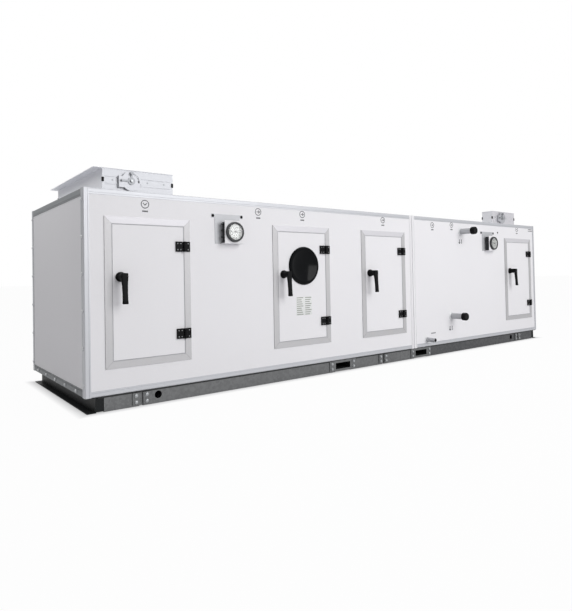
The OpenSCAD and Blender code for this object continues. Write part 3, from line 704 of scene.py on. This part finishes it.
@dataclass
class Casing:
    """The casing's small trim: cover caps along its edges, printed marks and a plug."""

    caps_per_post: int = 6
    caps_per_rail: int = 5
    cap: tuple[float, float] = (9.0, 7.0)
    cap_in: float = 24.8
    cap_up: float = 18.0
    post_margin: float = 60.0
    rail_margin: float = 150.0
    icons: tuple[tuple[float, float, Mark], ...] = (
        (323.0, 986.0, Mark.DOWN),
        (1056.0, 989.0, Mark.FLOW),
        (1410.0, 994.0, Mark.FLOW),
        (2195.0, 996.0, Mark.FLOW),
        (2796.0, 986.0, Mark.FLOW),
        (3061.0, 998.0, Mark.FLOW),
        (4130.0, 1003.0, Mark.UP),
    )
    icon_ring: Turning = Turning(23.0, 0.3, 40)
    pipe_marks: Pairs = ((3188.0, 861.0), (3021.0, 124.0))
    dashes: tuple[tuple[float, float, int], ...] = (
        (2752.0, 101.0, 7),
        (4352.0, 1012.0, 8),
        (4352.0, 996.0, 9),
    )
    dash_pitch: float = 9.0
    print_t: float = 0.3
    panel_y: float = 2.0
    plug: tuple[float, float] = (3783.0, 960.0)
    plug_r: float = 8.0

    def caps(self) -> None:
        """Fits the cover caps along the posts and bottom rails of both ends."""
        tall = spaced(self.post_margin, CASING_H - self.post_margin, self.caps_per_post)
        wide = spaced(self.rail_margin, CASING_W - self.rail_margin, self.caps_per_rail)
        spots = [(y, z) for y in (self.cap_in, CASING_W - self.cap_in) for z in tall]
        spots += [(y, self.cap_up) for y in wide]
        made = []
        for axis, x in ((Axis.LEFT, 0.0), (Axis.RIGHT, CASING_L)):
            made += Bench.repeat(Fasteners.cover_cap(axis, *self.cap), [at(x, y, z) for y, z in spots])
        Bench.dress(made, "edge_cover_caps", Finishes.ABS, "collar_plastic")

    def printed(self, x: float, z: float, mark: Mark) -> list[Object]:
        """Prints one mark on the front panels.

        Args:
            x: Millimetres from the left end to the mark's middle.
            z: Millimetres above the casing underside.
            mark: Which mark it is.

        Returns:
            The mark's bars.
        """
        made = []
        for across, up, length, width, turn in mark.value:
            middle = at(x + across, self.panel_y, z + up)
            low = middle - Vector((length / 2, self.print_t, width / 2)) * MM
            high = middle + Vector((length / 2, 0, width / 2)) * MM
            bar = Bench.slab(low, high, rounding=0.12, segments=1)
            made.append(Bench.turned(bar, middle, -math.radians(turn)))
        return made

    def pictograms(self) -> None:
        """Prints the round air-flow marks, the arrows beside the pipes and the rows of dashes."""
        made = []
        for x, z, mark in self.icons:
            made.append(Bench.bore(self.icon_ring.make(at(x, self.panel_y, z)), wall=4.2))
            made += self.printed(x, z, mark) + self.printed(x, z, Mark.CAPTION)
        for x, z in self.pipe_marks:
            made += self.printed(x, z, Mark.PIPE)
        for x, z, count in self.dashes:
            for k in range(count):
                made += self.printed(x + self.dash_pitch * k, z, Mark.DASH)
        Bench.dress(made, "air_flow_marks", Finishes.INK)

    def build(self) -> None:
        """Models the casing's trim."""
        self.caps()
        self.pictograms()
        x, z = self.plug
        plug = Bench.repeat(Fasteners.cover_cap(Axis.FRONT, self.plug_r), [at(x, self.panel_y, z)])
        Bench.dress(plug, "cable_hole_plug", Finishes.NYLON, "black_plastic")


@dataclass
class Door:
    """One inspection door: lever handle, hinge screws, seal and mitred frame corners.

    The grip is a head block (half width, then reach ahead, behind, below and above its middle)
    that is drawn down in sections: drop, spread across, spread in depth, and lean outwards.
    """

    number: int
    x: float
    width: float = 480.0
    height: float = 780.0
    z: float = 132.0
    face: float = 36.0
    proud: float = 3.0
    leaf_y: float = -2.0
    handle_in: float = 80.0
    handle_z: float = 600.0
    seat_y: float = -12.3
    neck: Turning = Turning(21.5, 4, 32, ((1.2, 2.5), (0.8, 6), (0, 34)))
    hub_y: float = -53.3
    hub: Turning = Turning(19.5, 9, 32, ((0.6, 4.4), (1.5, 2.2), (3.0, 1.6), (4.0, 0.5)))
    spindle: Turning = Turning(5, 46.6, 24, ((0.6, 0.4),))
    nut_y: float = 30.4
    nut: Turning = Turning(11.5, 3.2, 6, ((0.8, 0.6),))
    grip_y: float = -62.7
    grip_head: tuple[float, ...] = (17.5, 8.5, 9.5, 8.0, 18.5)
    grip_sections: tuple[tuple[float, float, float, float], ...] = (
        (14, 0.92, 0.95, 1.0),
        (26, 0.86, 0.93, 2.5),
        (40, 0.95, 0.96, 3.0),
        (30, 1.02, 1.0, 1.5),
        (17, 1.12, 1.04, 0.8),
        (4, 0.94, 0.94, 0.0),
    )
    hinge_in: float = 441.5
    hinge_rise: float = 240.5
    hinge_face: float = -11.0
    screw_rise: float = 17.0
    leaf_screws: tuple[float, float] = (22.0, 40.0)
    frame_screw: float = 23.0
    seal_y: tuple[float, float] = (-1.5, 12.0)
    mitre_half: tuple[float, float] = (0.12, 0.3)
    mitre_short: float = 0.5

    @property
    def leaf_body(self) -> str:
        """The body that the leaf swings with."""
        return f"door_{self.number}"

    def lever(self) -> Object:
        """Models the grip: a head that is drawn down into a tapering bar with a fuller tip.

        Returns:
            The grip.
        """
        x, y, z = self.x + self.handle_in, self.grip_y, self.handle_z
        half, ahead, behind, below, above = self.grip_head
        grip = Bench.block(at(x - half, y - ahead, z - below), at(x + half, y + behind, z + above))
        with Bench.editing(grip):
            Bench.pick_end(-UPRIGHT)
            for drop, wide, thick, out in self.grip_sections:
                y -= out
                Bench.draw_out(Vector((0, -out, -drop)) * MM, (wide, thick), at(x, y, z))
        return Bench.round_edges(grip, width=4.2, segments=3)

    def handle(self) -> None:
        """Models the whole handle on its spindle and lets it stand for the plain one."""
        x, z = self.x + self.handle_in, self.handle_z
        parts = [
            self.neck.make(at(x, self.seat_y, z)),
            self.hub.make(at(x, self.hub_y, z)),
            self.spindle.make(at(x, self.seat_y, z), Axis.REAR),
            self.nut.make(at(x, self.nut_y, z), Axis.REAR),
            self.lever(),
        ]
        name, body = f"lever_handle_{self.number}", f"handle_{self.number}"
        piece = Bench.dress(parts, name, Finishes.NYLON, "black_plastic", body)
        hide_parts(f"door_handle_{self.number}")

    def hinge_screws(self) -> None:
        """Fits the screws of both hinges, those of the leaf and those of the frame."""
        pin = self.x + self.hinge_in
        middle = self.z + self.height / 2
        steps = (-self.screw_rise, self.screw_rise)
        rises = [middle + side * self.hinge_rise + step for side in (-1, 1) for step in steps]
        leaf = [at(pin - inward, self.hinge_face, z) for z in rises for inward in self.leaf_screws]
        frame = [at(pin + self.frame_screw, self.hinge_face, z) for z in rises]
        for name, body, spots in (("leaf", self.leaf_body, leaf), ("frame", FIXED, frame)):
            screws = Bench.repeat(Fasteners.PAN_HEAD.make(ORIGIN), spots)
            Bench.dress(screws, f"hinge_screws_{name}_{self.number}", Finishes.STAINLESS, body=body)

    def seal(self) -> None:
        """Runs the grey lip seal round the opening, on the frame's side of the gap."""
        near, far = self.seal_y
        low = at(self.x + self.face, near, self.z + self.face)
        high = at(self.x + self.width - self.face, far, self.z + self.height - self.face)
        strip = Bench.round_edges(Bench.bore(Bench.block(low, high), wall=4.4), width=0.6)
        Bench.dress([strip], f"door_seal_{self.number}", Finishes.SEAL)

    def mitres(self) -> None:
        """Marks the mitred corner joints of the frame as hairlines."""
        half = Vector((self.face / math.sqrt(2) - self.mitre_short, *self.mitre_half)) * MM
        inset = self.face / 2
        made = []
        for right in (False, True):
            for top in (False, True):
                x = self.x + (self.width - inset if right else inset)
                z = self.z + (self.height - inset if top else inset)
                middle = at(x, -self.proud, z)
                line = Bench.slab(middle - half, middle + half, rounding=0.08, segments=1)
                made.append(Bench.turned(line, middle, -math.radians(45 if right == top else 135)))
        Bench.dress(made, f"frame_mitres_{self.number}", Finishes.CASE)

    def build(self) -> None:
        """Models all that belongs to this door."""
        self.handle()
        self.hinge_screws()
        self.seal()
        self.mitres()


@dataclass
class SightDoor(Door):
    """The door with the sight glass and the blank ruled label.

    The label's lines in each column are given by the first one's share of the column's width, the
    step to the next, and the number of lines after which they start again.
    """

    glass: Triple = (1411.0, 3.0, 654.0)
    bowl: Turning = Turning(
        109, 16.5, 72, ((2.5, 0.0), (8, -3.0), (16, -4.0), (26, -3.6), (30, -2.0), (18, -0.4))
    )
    label: tuple[float, float, float, float] = (1343.0, 330.0, 1475.0, 451.0)
    film_t: float = 0.5
    ink_t: float = 0.15
    rows: int = 9
    row_margin: float = 6.0
    row_half: float = 2.6
    column_in: float = 4.0
    column_gap: float = 16.0
    line_shares: tuple[Triple, Triple] = ((1.0, -0.09, 4), (0.72, 0.14, 3))

    def build(self) -> None:
        """Models the door, then its glass trim and its label."""
        super().build()
        self.glass_trim()
        self.rating_label()

    def glass_trim(self) -> None:
        """Models the bowl-shaped inner ring that leads in to the pane."""
        bowl = self.bowl.make(at(*self.glass))
        Bench.dress([bowl], "sight_glass_bowl", Finishes.GLOSS, "sight_glass", self.leaf_body, smooth=50)

    def rating_label(self) -> None:
        """Fits the blank plate with two columns of ruled lines of varied length."""
        x0, z0, x1, z1 = self.label
        far = self.leaf_y - self.film_t
        near = far - self.ink_t
        plate = Bench.slab(at(x0, far, z0), at(x1, self.leaf_y, z1), rounding=0.25)
        Bench.dress([plate], "label_plate", Finishes.FILM, body=self.leaf_body)
        column = (x1 - x0 - self.column_gap) / 2 - self.column_in
        left, right = x0 + self.column_in, x1 - self.column_in - column
        lines = []
        for k, z in enumerate(spaced(z0 + self.row_margin, z1 - self.row_margin, self.rows)):
            for start, (share, step, every) in zip((left, right), self.line_shares):
                low = at(start, near, z - self.row_half)
                end = start + column * (share + step * (k % every))
                lines.append(Bench.block(low, at(end, far, z + self.row_half)))
        ruled = Bench.round_edges(Bench.join(lines), width=0.05, segments=1)
        Bench.dress([ruled], "label_ruling", Finishes.PALE_INK, body=self.leaf_body)


@dataclass
class Gauge:
    """One differential pressure gauge: dial, scale, needle, ring, lens, hose ports and ear screws.

    The scale's marks are given by how often they come, their length and their width, and the
    needle by its half width, half thickness and tail, then by steps of rise and narrowing.
    """

    name: str
    x: float
    z: float = 853.0
    dial_y: float = -54.0
    dial: Turning = Turning(50.4, 0.4, 64, ((0.8, 0.2),))
    ring_y: float = -59.0
    ring: Turning = Turning(58.0, 1.6, 72)
    lens_y: float = -57.4
    lens: Turning = Turning(50.7, 1.0, 64, ((1.5, 0.5), (8, 0.8), (16, 0.7), (20, 0.25)))
    ear_x: tuple[float, ...] = (-118.0, 78.0)
    ear_y: float = -1.0
    ear_up: float = 96.0
    ear_r: float = 9.0
    case_half: float = 59.0
    case_y: float = -26.0
    ports: tuple[float, ...] = (44.0, 8.0, -30.0)
    port: Turning = Turning(7.0, 9, 20, ((2.0, 0.0), (0, 9.0), (0.8, 0.8)))
    sweep: float = 250.0
    marks: int = 51
    mark_sizes: tuple[tuple[int, float, float], ...] = ((10, 8.0, 1.4), (5, 5.5, 0.8), (1, 3.5, 0.8))
    mark_r: float = 44.0
    mark_y: float = -54.7
    mark_half: float = 0.12
    number_every: int = 10
    number_r: float = 30.0
    number_y: float = -54.62
    number_h: float = 9.5
    number_t: float = 0.1
    needle_y: float = -55.6
    needle_head: Triple = (2.4, 0.3, 26.0)
    needle_steps: Pairs = ((30, 0.5), (12, 0.35))
    hub_y: float = -54.8
    hub: Turning = Turning(5.5, 1.6, 28, ((0.8, 0.5), (2.2, 0.2)))
    reading: float = 0.145

    def angle(self, share: float) -> float:
        """Turn from upright, clockwise, at a share of the scale, in radians."""
        return math.radians(-self.sweep / 2 + self.sweep * share)

    def spot(self, radius: float, share: float, y: float) -> Vector:
        """Finds the point at a radius in millimetres and a share of the scale, y behind the front."""
        angle = self.angle(share)
        return at(self.x + radius * math.sin(angle), y, self.z + radius * math.cos(angle))

    def number(self, value: int, place: Vector) -> Object:
        """Models one number of the scale as a mesh.

        Args:
            value: The number.
            place: Its middle in metres.

        Returns:
            The number, with its place in its mesh.
        """
        bpy.ops.object.text_add(location=place, rotation=Axis.FRONT.value)
        text = bpy.context.object
        text.data.body = str(value)
        text.data.size = self.number_h * MM
        text.data.align_x = "CENTER"
        text.data.align_y = "CENTER"
        text.data.extrude = self.number_t * MM
        Bench.take(text)
        bpy.ops.object.convert(target="MESH")
        return Bench.settle(bpy.context.object)

    def scale(self) -> list[Object]:
        """Models the scale.

        Returns:
            Its marks and numbers.
        """
        made = []
        shares = spaced(0, 1, self.marks)
        for k, share in enumerate(shares):
            long, wide = next((long, wide) for every, long, wide in self.mark_sizes if k % every == 0)
            middle = self.spot(self.mark_r - long / 2, share, self.mark_y)
            half = Vector((wide / 2, self.mark_half, long / 2)) * MM
            made.append(Bench.turned(Bench.block(middle - half, middle + half), middle, self.angle(share)))
        for k in range(0, self.marks, self.number_every):
            made.append(self.number(k, self.spot(self.number_r, shares[k], self.number_y)))
        return made

    def needle(self) -> list[Object]:
        """Models the tapered needle with its tail.

        Returns:
            The needle and its hub.
        """
        pivot = at(self.x, self.needle_y, self.z)
        half, thick, tail = self.needle_head
        low = pivot - Vector((half, thick, tail)) * MM
        hand = Bench.block(low, pivot + Vector((half, thick, 0)) * MM)
        with Bench.editing(hand):
            Bench.pick_end(UPRIGHT)
            for rise, wide in self.needle_steps:
                Bench.draw_out(UPRIGHT * rise * MM, (wide, 1.0), pivot)
        hub = self.hub.make(at(self.x, self.hub_y, self.z))
        return [Bench.turned(hand, pivot, self.angle(self.reading)), hub]

    def build(self) -> None:
        """Models the gauge's face and fixings."""
        dial = self.dial.make(at(self.x, self.dial_y, self.z))
        Bench.dress([dial], f"{self.name}_dial", Finishes.CARD, "gauge_case")
        Bench.dress(self.scale() + self.needle(), f"{self.name}_scale", Finishes.INK)
        ring = Bench.bore(self.ring.make(at(self.x, self.ring_y, self.z)), wall=11.5)
        Bench.round_edges(ring, width=0.6)
        Bench.dress([ring], f"{self.name}_ring", Finishes.CASE, "gauge_case")
        lens = self.lens.make(at(self.x, self.lens_y, self.z))
        Bench.dress([lens], f"{self.name}_lens", Finishes.LENS, "sight_glass", smooth=60)
        places = [at(self.x - self.case_half, self.case_y, self.z + rise) for rise in self.ports]
        ports = Bench.repeat(self.port.make(ORIGIN, Axis.LEFT), places)
        Bench.dress(ports, f"{self.name}_ports", Finishes.CASE, "gauge_case")
        places = [at(self.x + step, self.ear_y, self.z + self.ear_up) for step in self.ear_x]
        screws = Bench.repeat(Fasteners.cover_cap(Axis.FRONT, self.ear_r), places)
        Bench.dress(screws, f"{self.name}_ear_screws", Finishes.NYLON, "black_plastic")


@dataclass
class Damper:
    """One blade damper: plugs on its corners, flange rivets and the lever's hub nut."""

    name: str
    x: float
    width: float = 404.0
    y: float = 121.0
    length: float = 878.0
    axis_z: float = 1122.0
    top_z: float = 1185.0
    flange: float = 47.0
    rivets_on_flange: int = 5
    rivet_in: float = 20.0
    rivet_r: float = 5.0
    plug: Triple = (12.0, 10.0, 24.0)
    plug_out: tuple[float, float] = (3.0, 4.0)
    lead_x: float = 152.9
    lever_face: float = 99.0

    def plugs(self) -> None:
        """Fits the black end plugs of the blade gear on the four upright corners."""
        wide, deep, tall = self.plug
        out_x, out_y = self.plug_out
        made = []
        for x in (self.x - out_x, self.x + self.width + out_x - wide):
            for y in (self.y - out_y, self.y + self.length + out_y - deep):
                low = at(x, y, self.axis_z - tall / 2)
                made.append(Bench.slab(low, low + Vector(self.plug) * MM, rounding=2.0))
        Bench.dress(made, f"{self.name}_damper_plugs", Finishes.NYLON, "black_plastic")

    def rivets(self) -> None:
        """Sets the rivets along the flange on the left."""
        steps = spaced(self.rivet_in, self.length - self.rivet_in, self.rivets_on_flange)
        spots = [at(self.x - self.flange / 2, self.y + step, self.top_z) for step in steps]
        rivets = Bench.repeat(Fasteners.cover_cap(Axis.UP, self.rivet_r), spots)
        Bench.dress(rivets, f"{self.name}_damper_rivets", Finishes.PLATED, "anodised_aluminium")

    def lever_nut(self) -> None:
        """Fits the nut that clamps the lever on its shaft."""
        place = at(self.x + self.lead_x, self.lever_face, self.axis_z)
        nut = Bench.repeat(Fasteners.hex_bolt(Axis.FRONT), [place])
        vane = f"{self.name}_vane_2"
        Bench.dress(nut, f"{self.name}_lever_nut", Finishes.PLATED, "galvanised_steel", vane)

    def build(self) -> None:
        """Models the damper's fittings, with rivets only where it has a flange."""
        self.plugs()
        if self.flange:
            self.rivets()
        self.lever_nut()


@dataclass
class Pipes:
    """The coil connections: grip ribs round the transport caps."""

    coils: Pairs = ((3192.0, 947.0), (3034.0, 225.0))
    ribs: tuple[float, ...] = (-132.0, -123.0, -114.0)
    rib: Turning = Turning(32.05, 4, 48)

    def build(self) -> None:
        """Models the ribbed bands of the caps."""
        rings = [self.rib.make(at(x, y, z)) for x, z in self.coils for y in self.ribs]
        made = [Bench.round_edges(Bench.bore(ring, wall=1.8), width=0.8) for ring in rings]
        Bench.dress(made, "pipe_cap_ribs", Finishes.NYLON, "black_plastic")


@dataclass
class Dresser:
    """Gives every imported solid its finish; those that aren't named are painted panels."""

    bracket_y: float = -5.0
    frame_head: float = 876.0
    # Side rails right of this point are painted darker as painted shade
    dull_from: float = 2616.0
    end_zone: float = 100.0
    drain: Triple = (2692.0, 0.0, 56.0)
    drain_bore: float = 14.5

    @staticmethod
    def finish_of(node: str) -> Finish:
        """Looks the finish of a solid up by the start of its name.

        Args:
            node: Name of the solid.

        Returns:
            Its finish.
        """
        starts = {
            Finishes.ZINC: ("base_side_rails", "base_cross_rails", "fork_pockets", "rail_joint_plates"),
            # Base end channels and corner gussets painted near black: painted shade
            Finishes.LACQUER: ("base_end_rails", "corner_gussets"),
            Finishes.SHEET: ("damper_quadrants", "return_damper_frame"),
            # The short damper's front painted paler: painted light
            Finishes.FRESH: ("supply_damper_frame",),
            Finishes.LEVER: ("return_lever", "supply_lever"),
            Finishes.EXTRUSION_X: ("casing_long_rails",),
            # Cross rails and blades in the greyer aluminium: painted shade
            Finishes.EXTRUSION_Y: ("casing_cross_rails", "return_blade", "supply_blade"),
            Finishes.EXTRUSION_Z: ("casing_posts",),
            Finishes.FRAME: ("door_frame",),
            Finishes.CASE: ("pressure_gauges",),
            Finishes.RUBBER: ("section_gasket",),
            Finishes.GLOSS: ("sight_glass_ring",),
            Finishes.SMOKED: ("sight_glass_pane",),
            Finishes.TUBE: ("coil_pipes", "drain_pipe"),
            Finishes.ABS: ("pipe_collars",),
            Finishes.NYLON: ("pipe_caps", "frame_hinges", "door_fittings", "door_handle"),
        }
        return next((finish for finish, names in starts.items() if node.startswith(names)), Finishes.PANEL)

    def second_finishes(self) -> tuple[tuple[str, Finish, FaceTest], ...]:
        """Lists the solids with a second finish on part of their faces.

        Returns:
            The start of each name, the finish, and the test of a face's middle and normal.
        """
        wall = at(0, self.bracket_y, 0).y
        head = at(0, 0, self.frame_head).z
        waist = at(0, 0, CASING_H / 2).z
        shade_start = at(self.dull_from, 0, 0).x
        inboard = (CASING_L / 2 - self.end_zone) * MM
        axis = at(*self.drain).xz
        bore = self.drain_bore * MM
        return (
            # Wall plates of the gauge brackets a darker grey: partly zinc, partly painted shade
            ("gauge_brackets", Finishes.GALVANISED, lambda mid, way: mid.y > wall),
            # Damper faces not turned to the front painted near white: painted light
            ("return_damper_frame", Finishes.BRIGHT, lambda mid, way: way.y > -PARTLY),
            ("supply_damper_frame", Finishes.BRIGHT, lambda mid, way: way.y > -PARTLY),
            # Head strips of the door frames painted paler: painted light from above
            ("door_frame", Finishes.FRESH, lambda mid, way: mid.z > head),
            ("casing_posts", Finishes.PANEL, lambda mid, way: abs(mid.x) < inboard),
            # Lower halves of the end cross rails painted darker: painted shade
            (
                "casing_cross_rails",
                Finishes.DULLED_Y,
                lambda mid, way: mid.z < waist and abs(mid.x) > inboard,
            ),
            # Rails right of the second fork pocket painted darker: painted shade
            ("base_side_rails", Finishes.DULL_ZINC, lambda mid, way: mid.x > shade_start),
            # Insides of the fork pockets painted near black: painted shade
            ("fork_pockets", Finishes.LACQUER, lambda mid, way: abs(way.y) < PARTLY),
            # Inner wall of the drain pipe's open end painted black: painted shade
            (
                "drain_pipe",
                Finishes.RUBBER,
                lambda mid, way: (mid.xz - axis).length < bore and abs(way.y) < PARTLY,
            ),
        )

    def build(self, nodes: dict[str, Object]) -> None:
        """Gives each solid its finish, and some of them a second one on part of their faces.

        Args:
            nodes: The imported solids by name.
        """
        second = self.second_finishes()
        for name, obj in nodes.items():
            base = self.finish_of(name)
            obj.data.materials.clear()
            obj.data.materials.append(Finishes.material(base))
            for start, finish, test in second:
                if name.startswith(start):
                    obj.data.materials.append(Finishes.material(finish))
                    for face in obj.data.polygons:
                        face.material_index = int(test(face.center, face.normal))
            LOG.info("solid %s is %s", name, base.name)


@dataclass
class Studio:
    """The plain white studio: floor, world, soft lamps and the photograph's camera."""

    image: tuple[int, int] = (572, 611)
    focal_px: float = 521.97
    centre_y_px: float = 266.58
    eye: Triple = (-786.0, -2654.0, 586.0)
    yaw: float = 37.698
    pitch: float = 1.087
    roll: float = 1.082
    sensor: float = 36.0
    clip: tuple[float, float] = (0.05, 200.0)
    ambient: float = 0.39
    mirror_span: tuple[float, float] = (-0.9, 0.2)
    mirror_light: tuple[float, float] = (0.36, 0.9)
    floor_size: float = 160.0
    floor_paint: str = "#c2c2c6"
    floor_white: float = 0.97
    floor_inset: float = 60.0
    floor_fade: float = 0.11
    aim: Triple = (0.0, 0.0, 0.6)
    lamps: tuple[tuple[str, Triple, float, float], ...] = (
        ("front_softbox", (0.9, -7.0, 3.2), 5.0, 322.0),
        ("top_softbox", (0.0, 0.5, 6.0), 5.0, 90.0),
        ("left_fill", (-3.4, 0.2, 2.7), 1.0, 15.0),
    )

    def camera(self) -> None:
        """Sets the camera up where the photograph was taken from."""
        yaw, pitch, roll = (math.radians(turn) for turn in (self.yaw, self.pitch, self.roll))
        ahead = Vector((math.sin(yaw) * math.cos(pitch), math.cos(yaw) * math.cos(pitch), math.sin(pitch)))
        level = Vector((math.cos(yaw), -math.sin(yaw), 0))
        below = ahead.cross(level)
        right = math.cos(roll) * level + math.sin(roll) * below
        down = -math.sin(roll) * level + math.cos(roll) * below
        data = bpy.data.cameras.new("photo_camera")
        obj = bpy.data.objects.new("photo_camera", data)
        bpy.context.scene.collection.objects.link(obj)
        turn = Matrix((right, -down, -ahead)).transposed()
        obj.matrix_world = Matrix.Translation(at(*self.eye)) @ turn.to_4x4()
        long_side = max(self.image)
        data.sensor_width = self.sensor
        data.lens = self.focal_px * self.sensor / long_side
        data.shift_y = (self.centre_y_px - self.image[1] / 2) / long_side
        data.clip_start, data.clip_end = self.clip
        bpy.context.scene.camera = obj

    def floor(self) -> None:
        """Lays the pale floor, which the camera sees nearly white, and dark beneath the unit."""
        Bench.clear()
        bpy.ops.mesh.primitive_plane_add(size=self.floor_size, location=(0, 0, 0))
        obj = bpy.context.object
        obj.name = "studio_floor"
        material = bpy.data.materials.new("studio_floor_paint")
        tree = blank_tree(material)
        most = {"operation": "MAXIMUM"}
        place = add_node(tree, "TexCoord")["Object"]
        split = add_node(tree, "SeparateXYZ", inputs={0: place})
        past = []
        for socket, half in ((split[0], CASING_L / 2), (split[1], CASING_W / 2)):
            side = add_node(tree, "Math", {"operation": "ABSOLUTE"}, {0: socket})[0]
            reach = {0: side, 1: (half - self.floor_inset) * MM}
            past.append(add_node(tree, "Math", {"operation": "SUBTRACT"}, reach)[0])
        away = add_node(tree, "Math", most, {0: past[0], 1: past[1]})[0]
        fade = {0: away, 1: 0.0, 2: self.floor_fade, 3: 0.0, 4: self.floor_white}
        lit = add_node(tree, "MapRange", inputs=fade)[0]
        path = add_node(tree, "LightPath")
        seen = path["Is Camera Ray"]
        for ray in ("Is Glossy Ray", "Is Transmission Ray"):
            seen = add_node(tree, "Math", most, {0: seen, 1: path[ray]})[0]
        share = add_node(tree, "Math", {"operation": "MULTIPLY"}, {0: seen, 1: lit})[0]
        paint = add_node(tree, "BsdfDiffuse", inputs={"Color": linear(self.floor_paint)})[0]
        glow = add_node(tree, "Emission", inputs={"Color": WHITE, "Strength": 1.0})[0]
        mix = add_node(tree, "MixShader", inputs={0: share, 1: paint, 2: glow})[0]
        add_node(tree, "OutputMaterial", inputs={"Surface": mix})
        obj.data.materials.append(material)

    def world(self) -> None:
        """Makes the backdrop white to the eye, and a grey light that metal mirrors darker on the left."""
        world = bpy.data.worlds.new("studio_backdrop")
        bpy.context.scene.world = world
        tree = blank_tree(world)
        way = add_node(tree, "TexCoord")["Generated"]
        across = add_node(tree, "SeparateXYZ", inputs={0: way})[0]
        reach = dict(enumerate((across, *self.mirror_span, *self.mirror_light)))
        mirrored = add_node(tree, "MapRange", inputs=reach)[0]
        path = add_node(tree, "LightPath")
        gloss = {0: path["Is Glossy Ray"], 1: mirrored}
        shine = add_node(tree, "Math", {"operation": "MULTIPLY"}, gloss)[0]
        strength = path["Is Camera Ray"]
        for other in (path["Is Transmission Ray"], shine, self.ambient):
            strength = add_node(tree, "Math", {"operation": "MAXIMUM"}, {0: strength, 1: other})[0]
        back = add_node(tree, "Background", inputs={"Color": WHITE, "Strength": strength})[0]
        add_node(tree, "OutputWorld", inputs={"Surface": back})

    def lamp(self, name: str, place: Triple, size: float, watts: float) -> None:
        """Hangs one square soft lamp that looks at the middle of the unit.

        Args:
            name: Name of the lamp.
            place: Where it hangs, in metres.
            size: Length of its side in metres.
            watts: Its power.
        """
        data = bpy.data.lights.new(name, "AREA")
        data.size = size
        data.energy = watts
        obj = bpy.data.objects.new(name, data)
        bpy.context.scene.collection.objects.link(obj)
        obj.location = place
        obj.rotation_euler = (Vector(self.aim) - Vector(place)).to_track_quat("-Z", "Y").to_euler()

    def build(self) -> None:
        """Sets up the studio."""
        self.camera()
        self.floor()
        self.world()
        for lamp in self.lamps:
            self.lamp(*lamp)
        bpy.context.scene.view_settings.view_transform = "Standard"


def main() -> None:
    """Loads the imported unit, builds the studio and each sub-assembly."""
    logging.basicConfig(level=logging.INFO, format="%(name)s: %(message)s")
    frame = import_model()
    Studio().build()
    Dresser().build(frame["nodes"])
    BaseFrame().build()
    Casing().build()
    for number, x in ((1, 103.0), (3, 1957.0), (4, 3893.0)):
        Door(number, x).build()
    SightDoor(2, 1162.0).build()
    Gauge("left_gauge", 852.0).build()
    Gauge("right_gauge", 3624.0, reading=0.2).build()
    Pipes().build()
    Damper("return", 137.0).build()
    Damper("supply", 3900.0, length=106.0, flange=0.0).build()


if __name__ == "__main__":
    main()
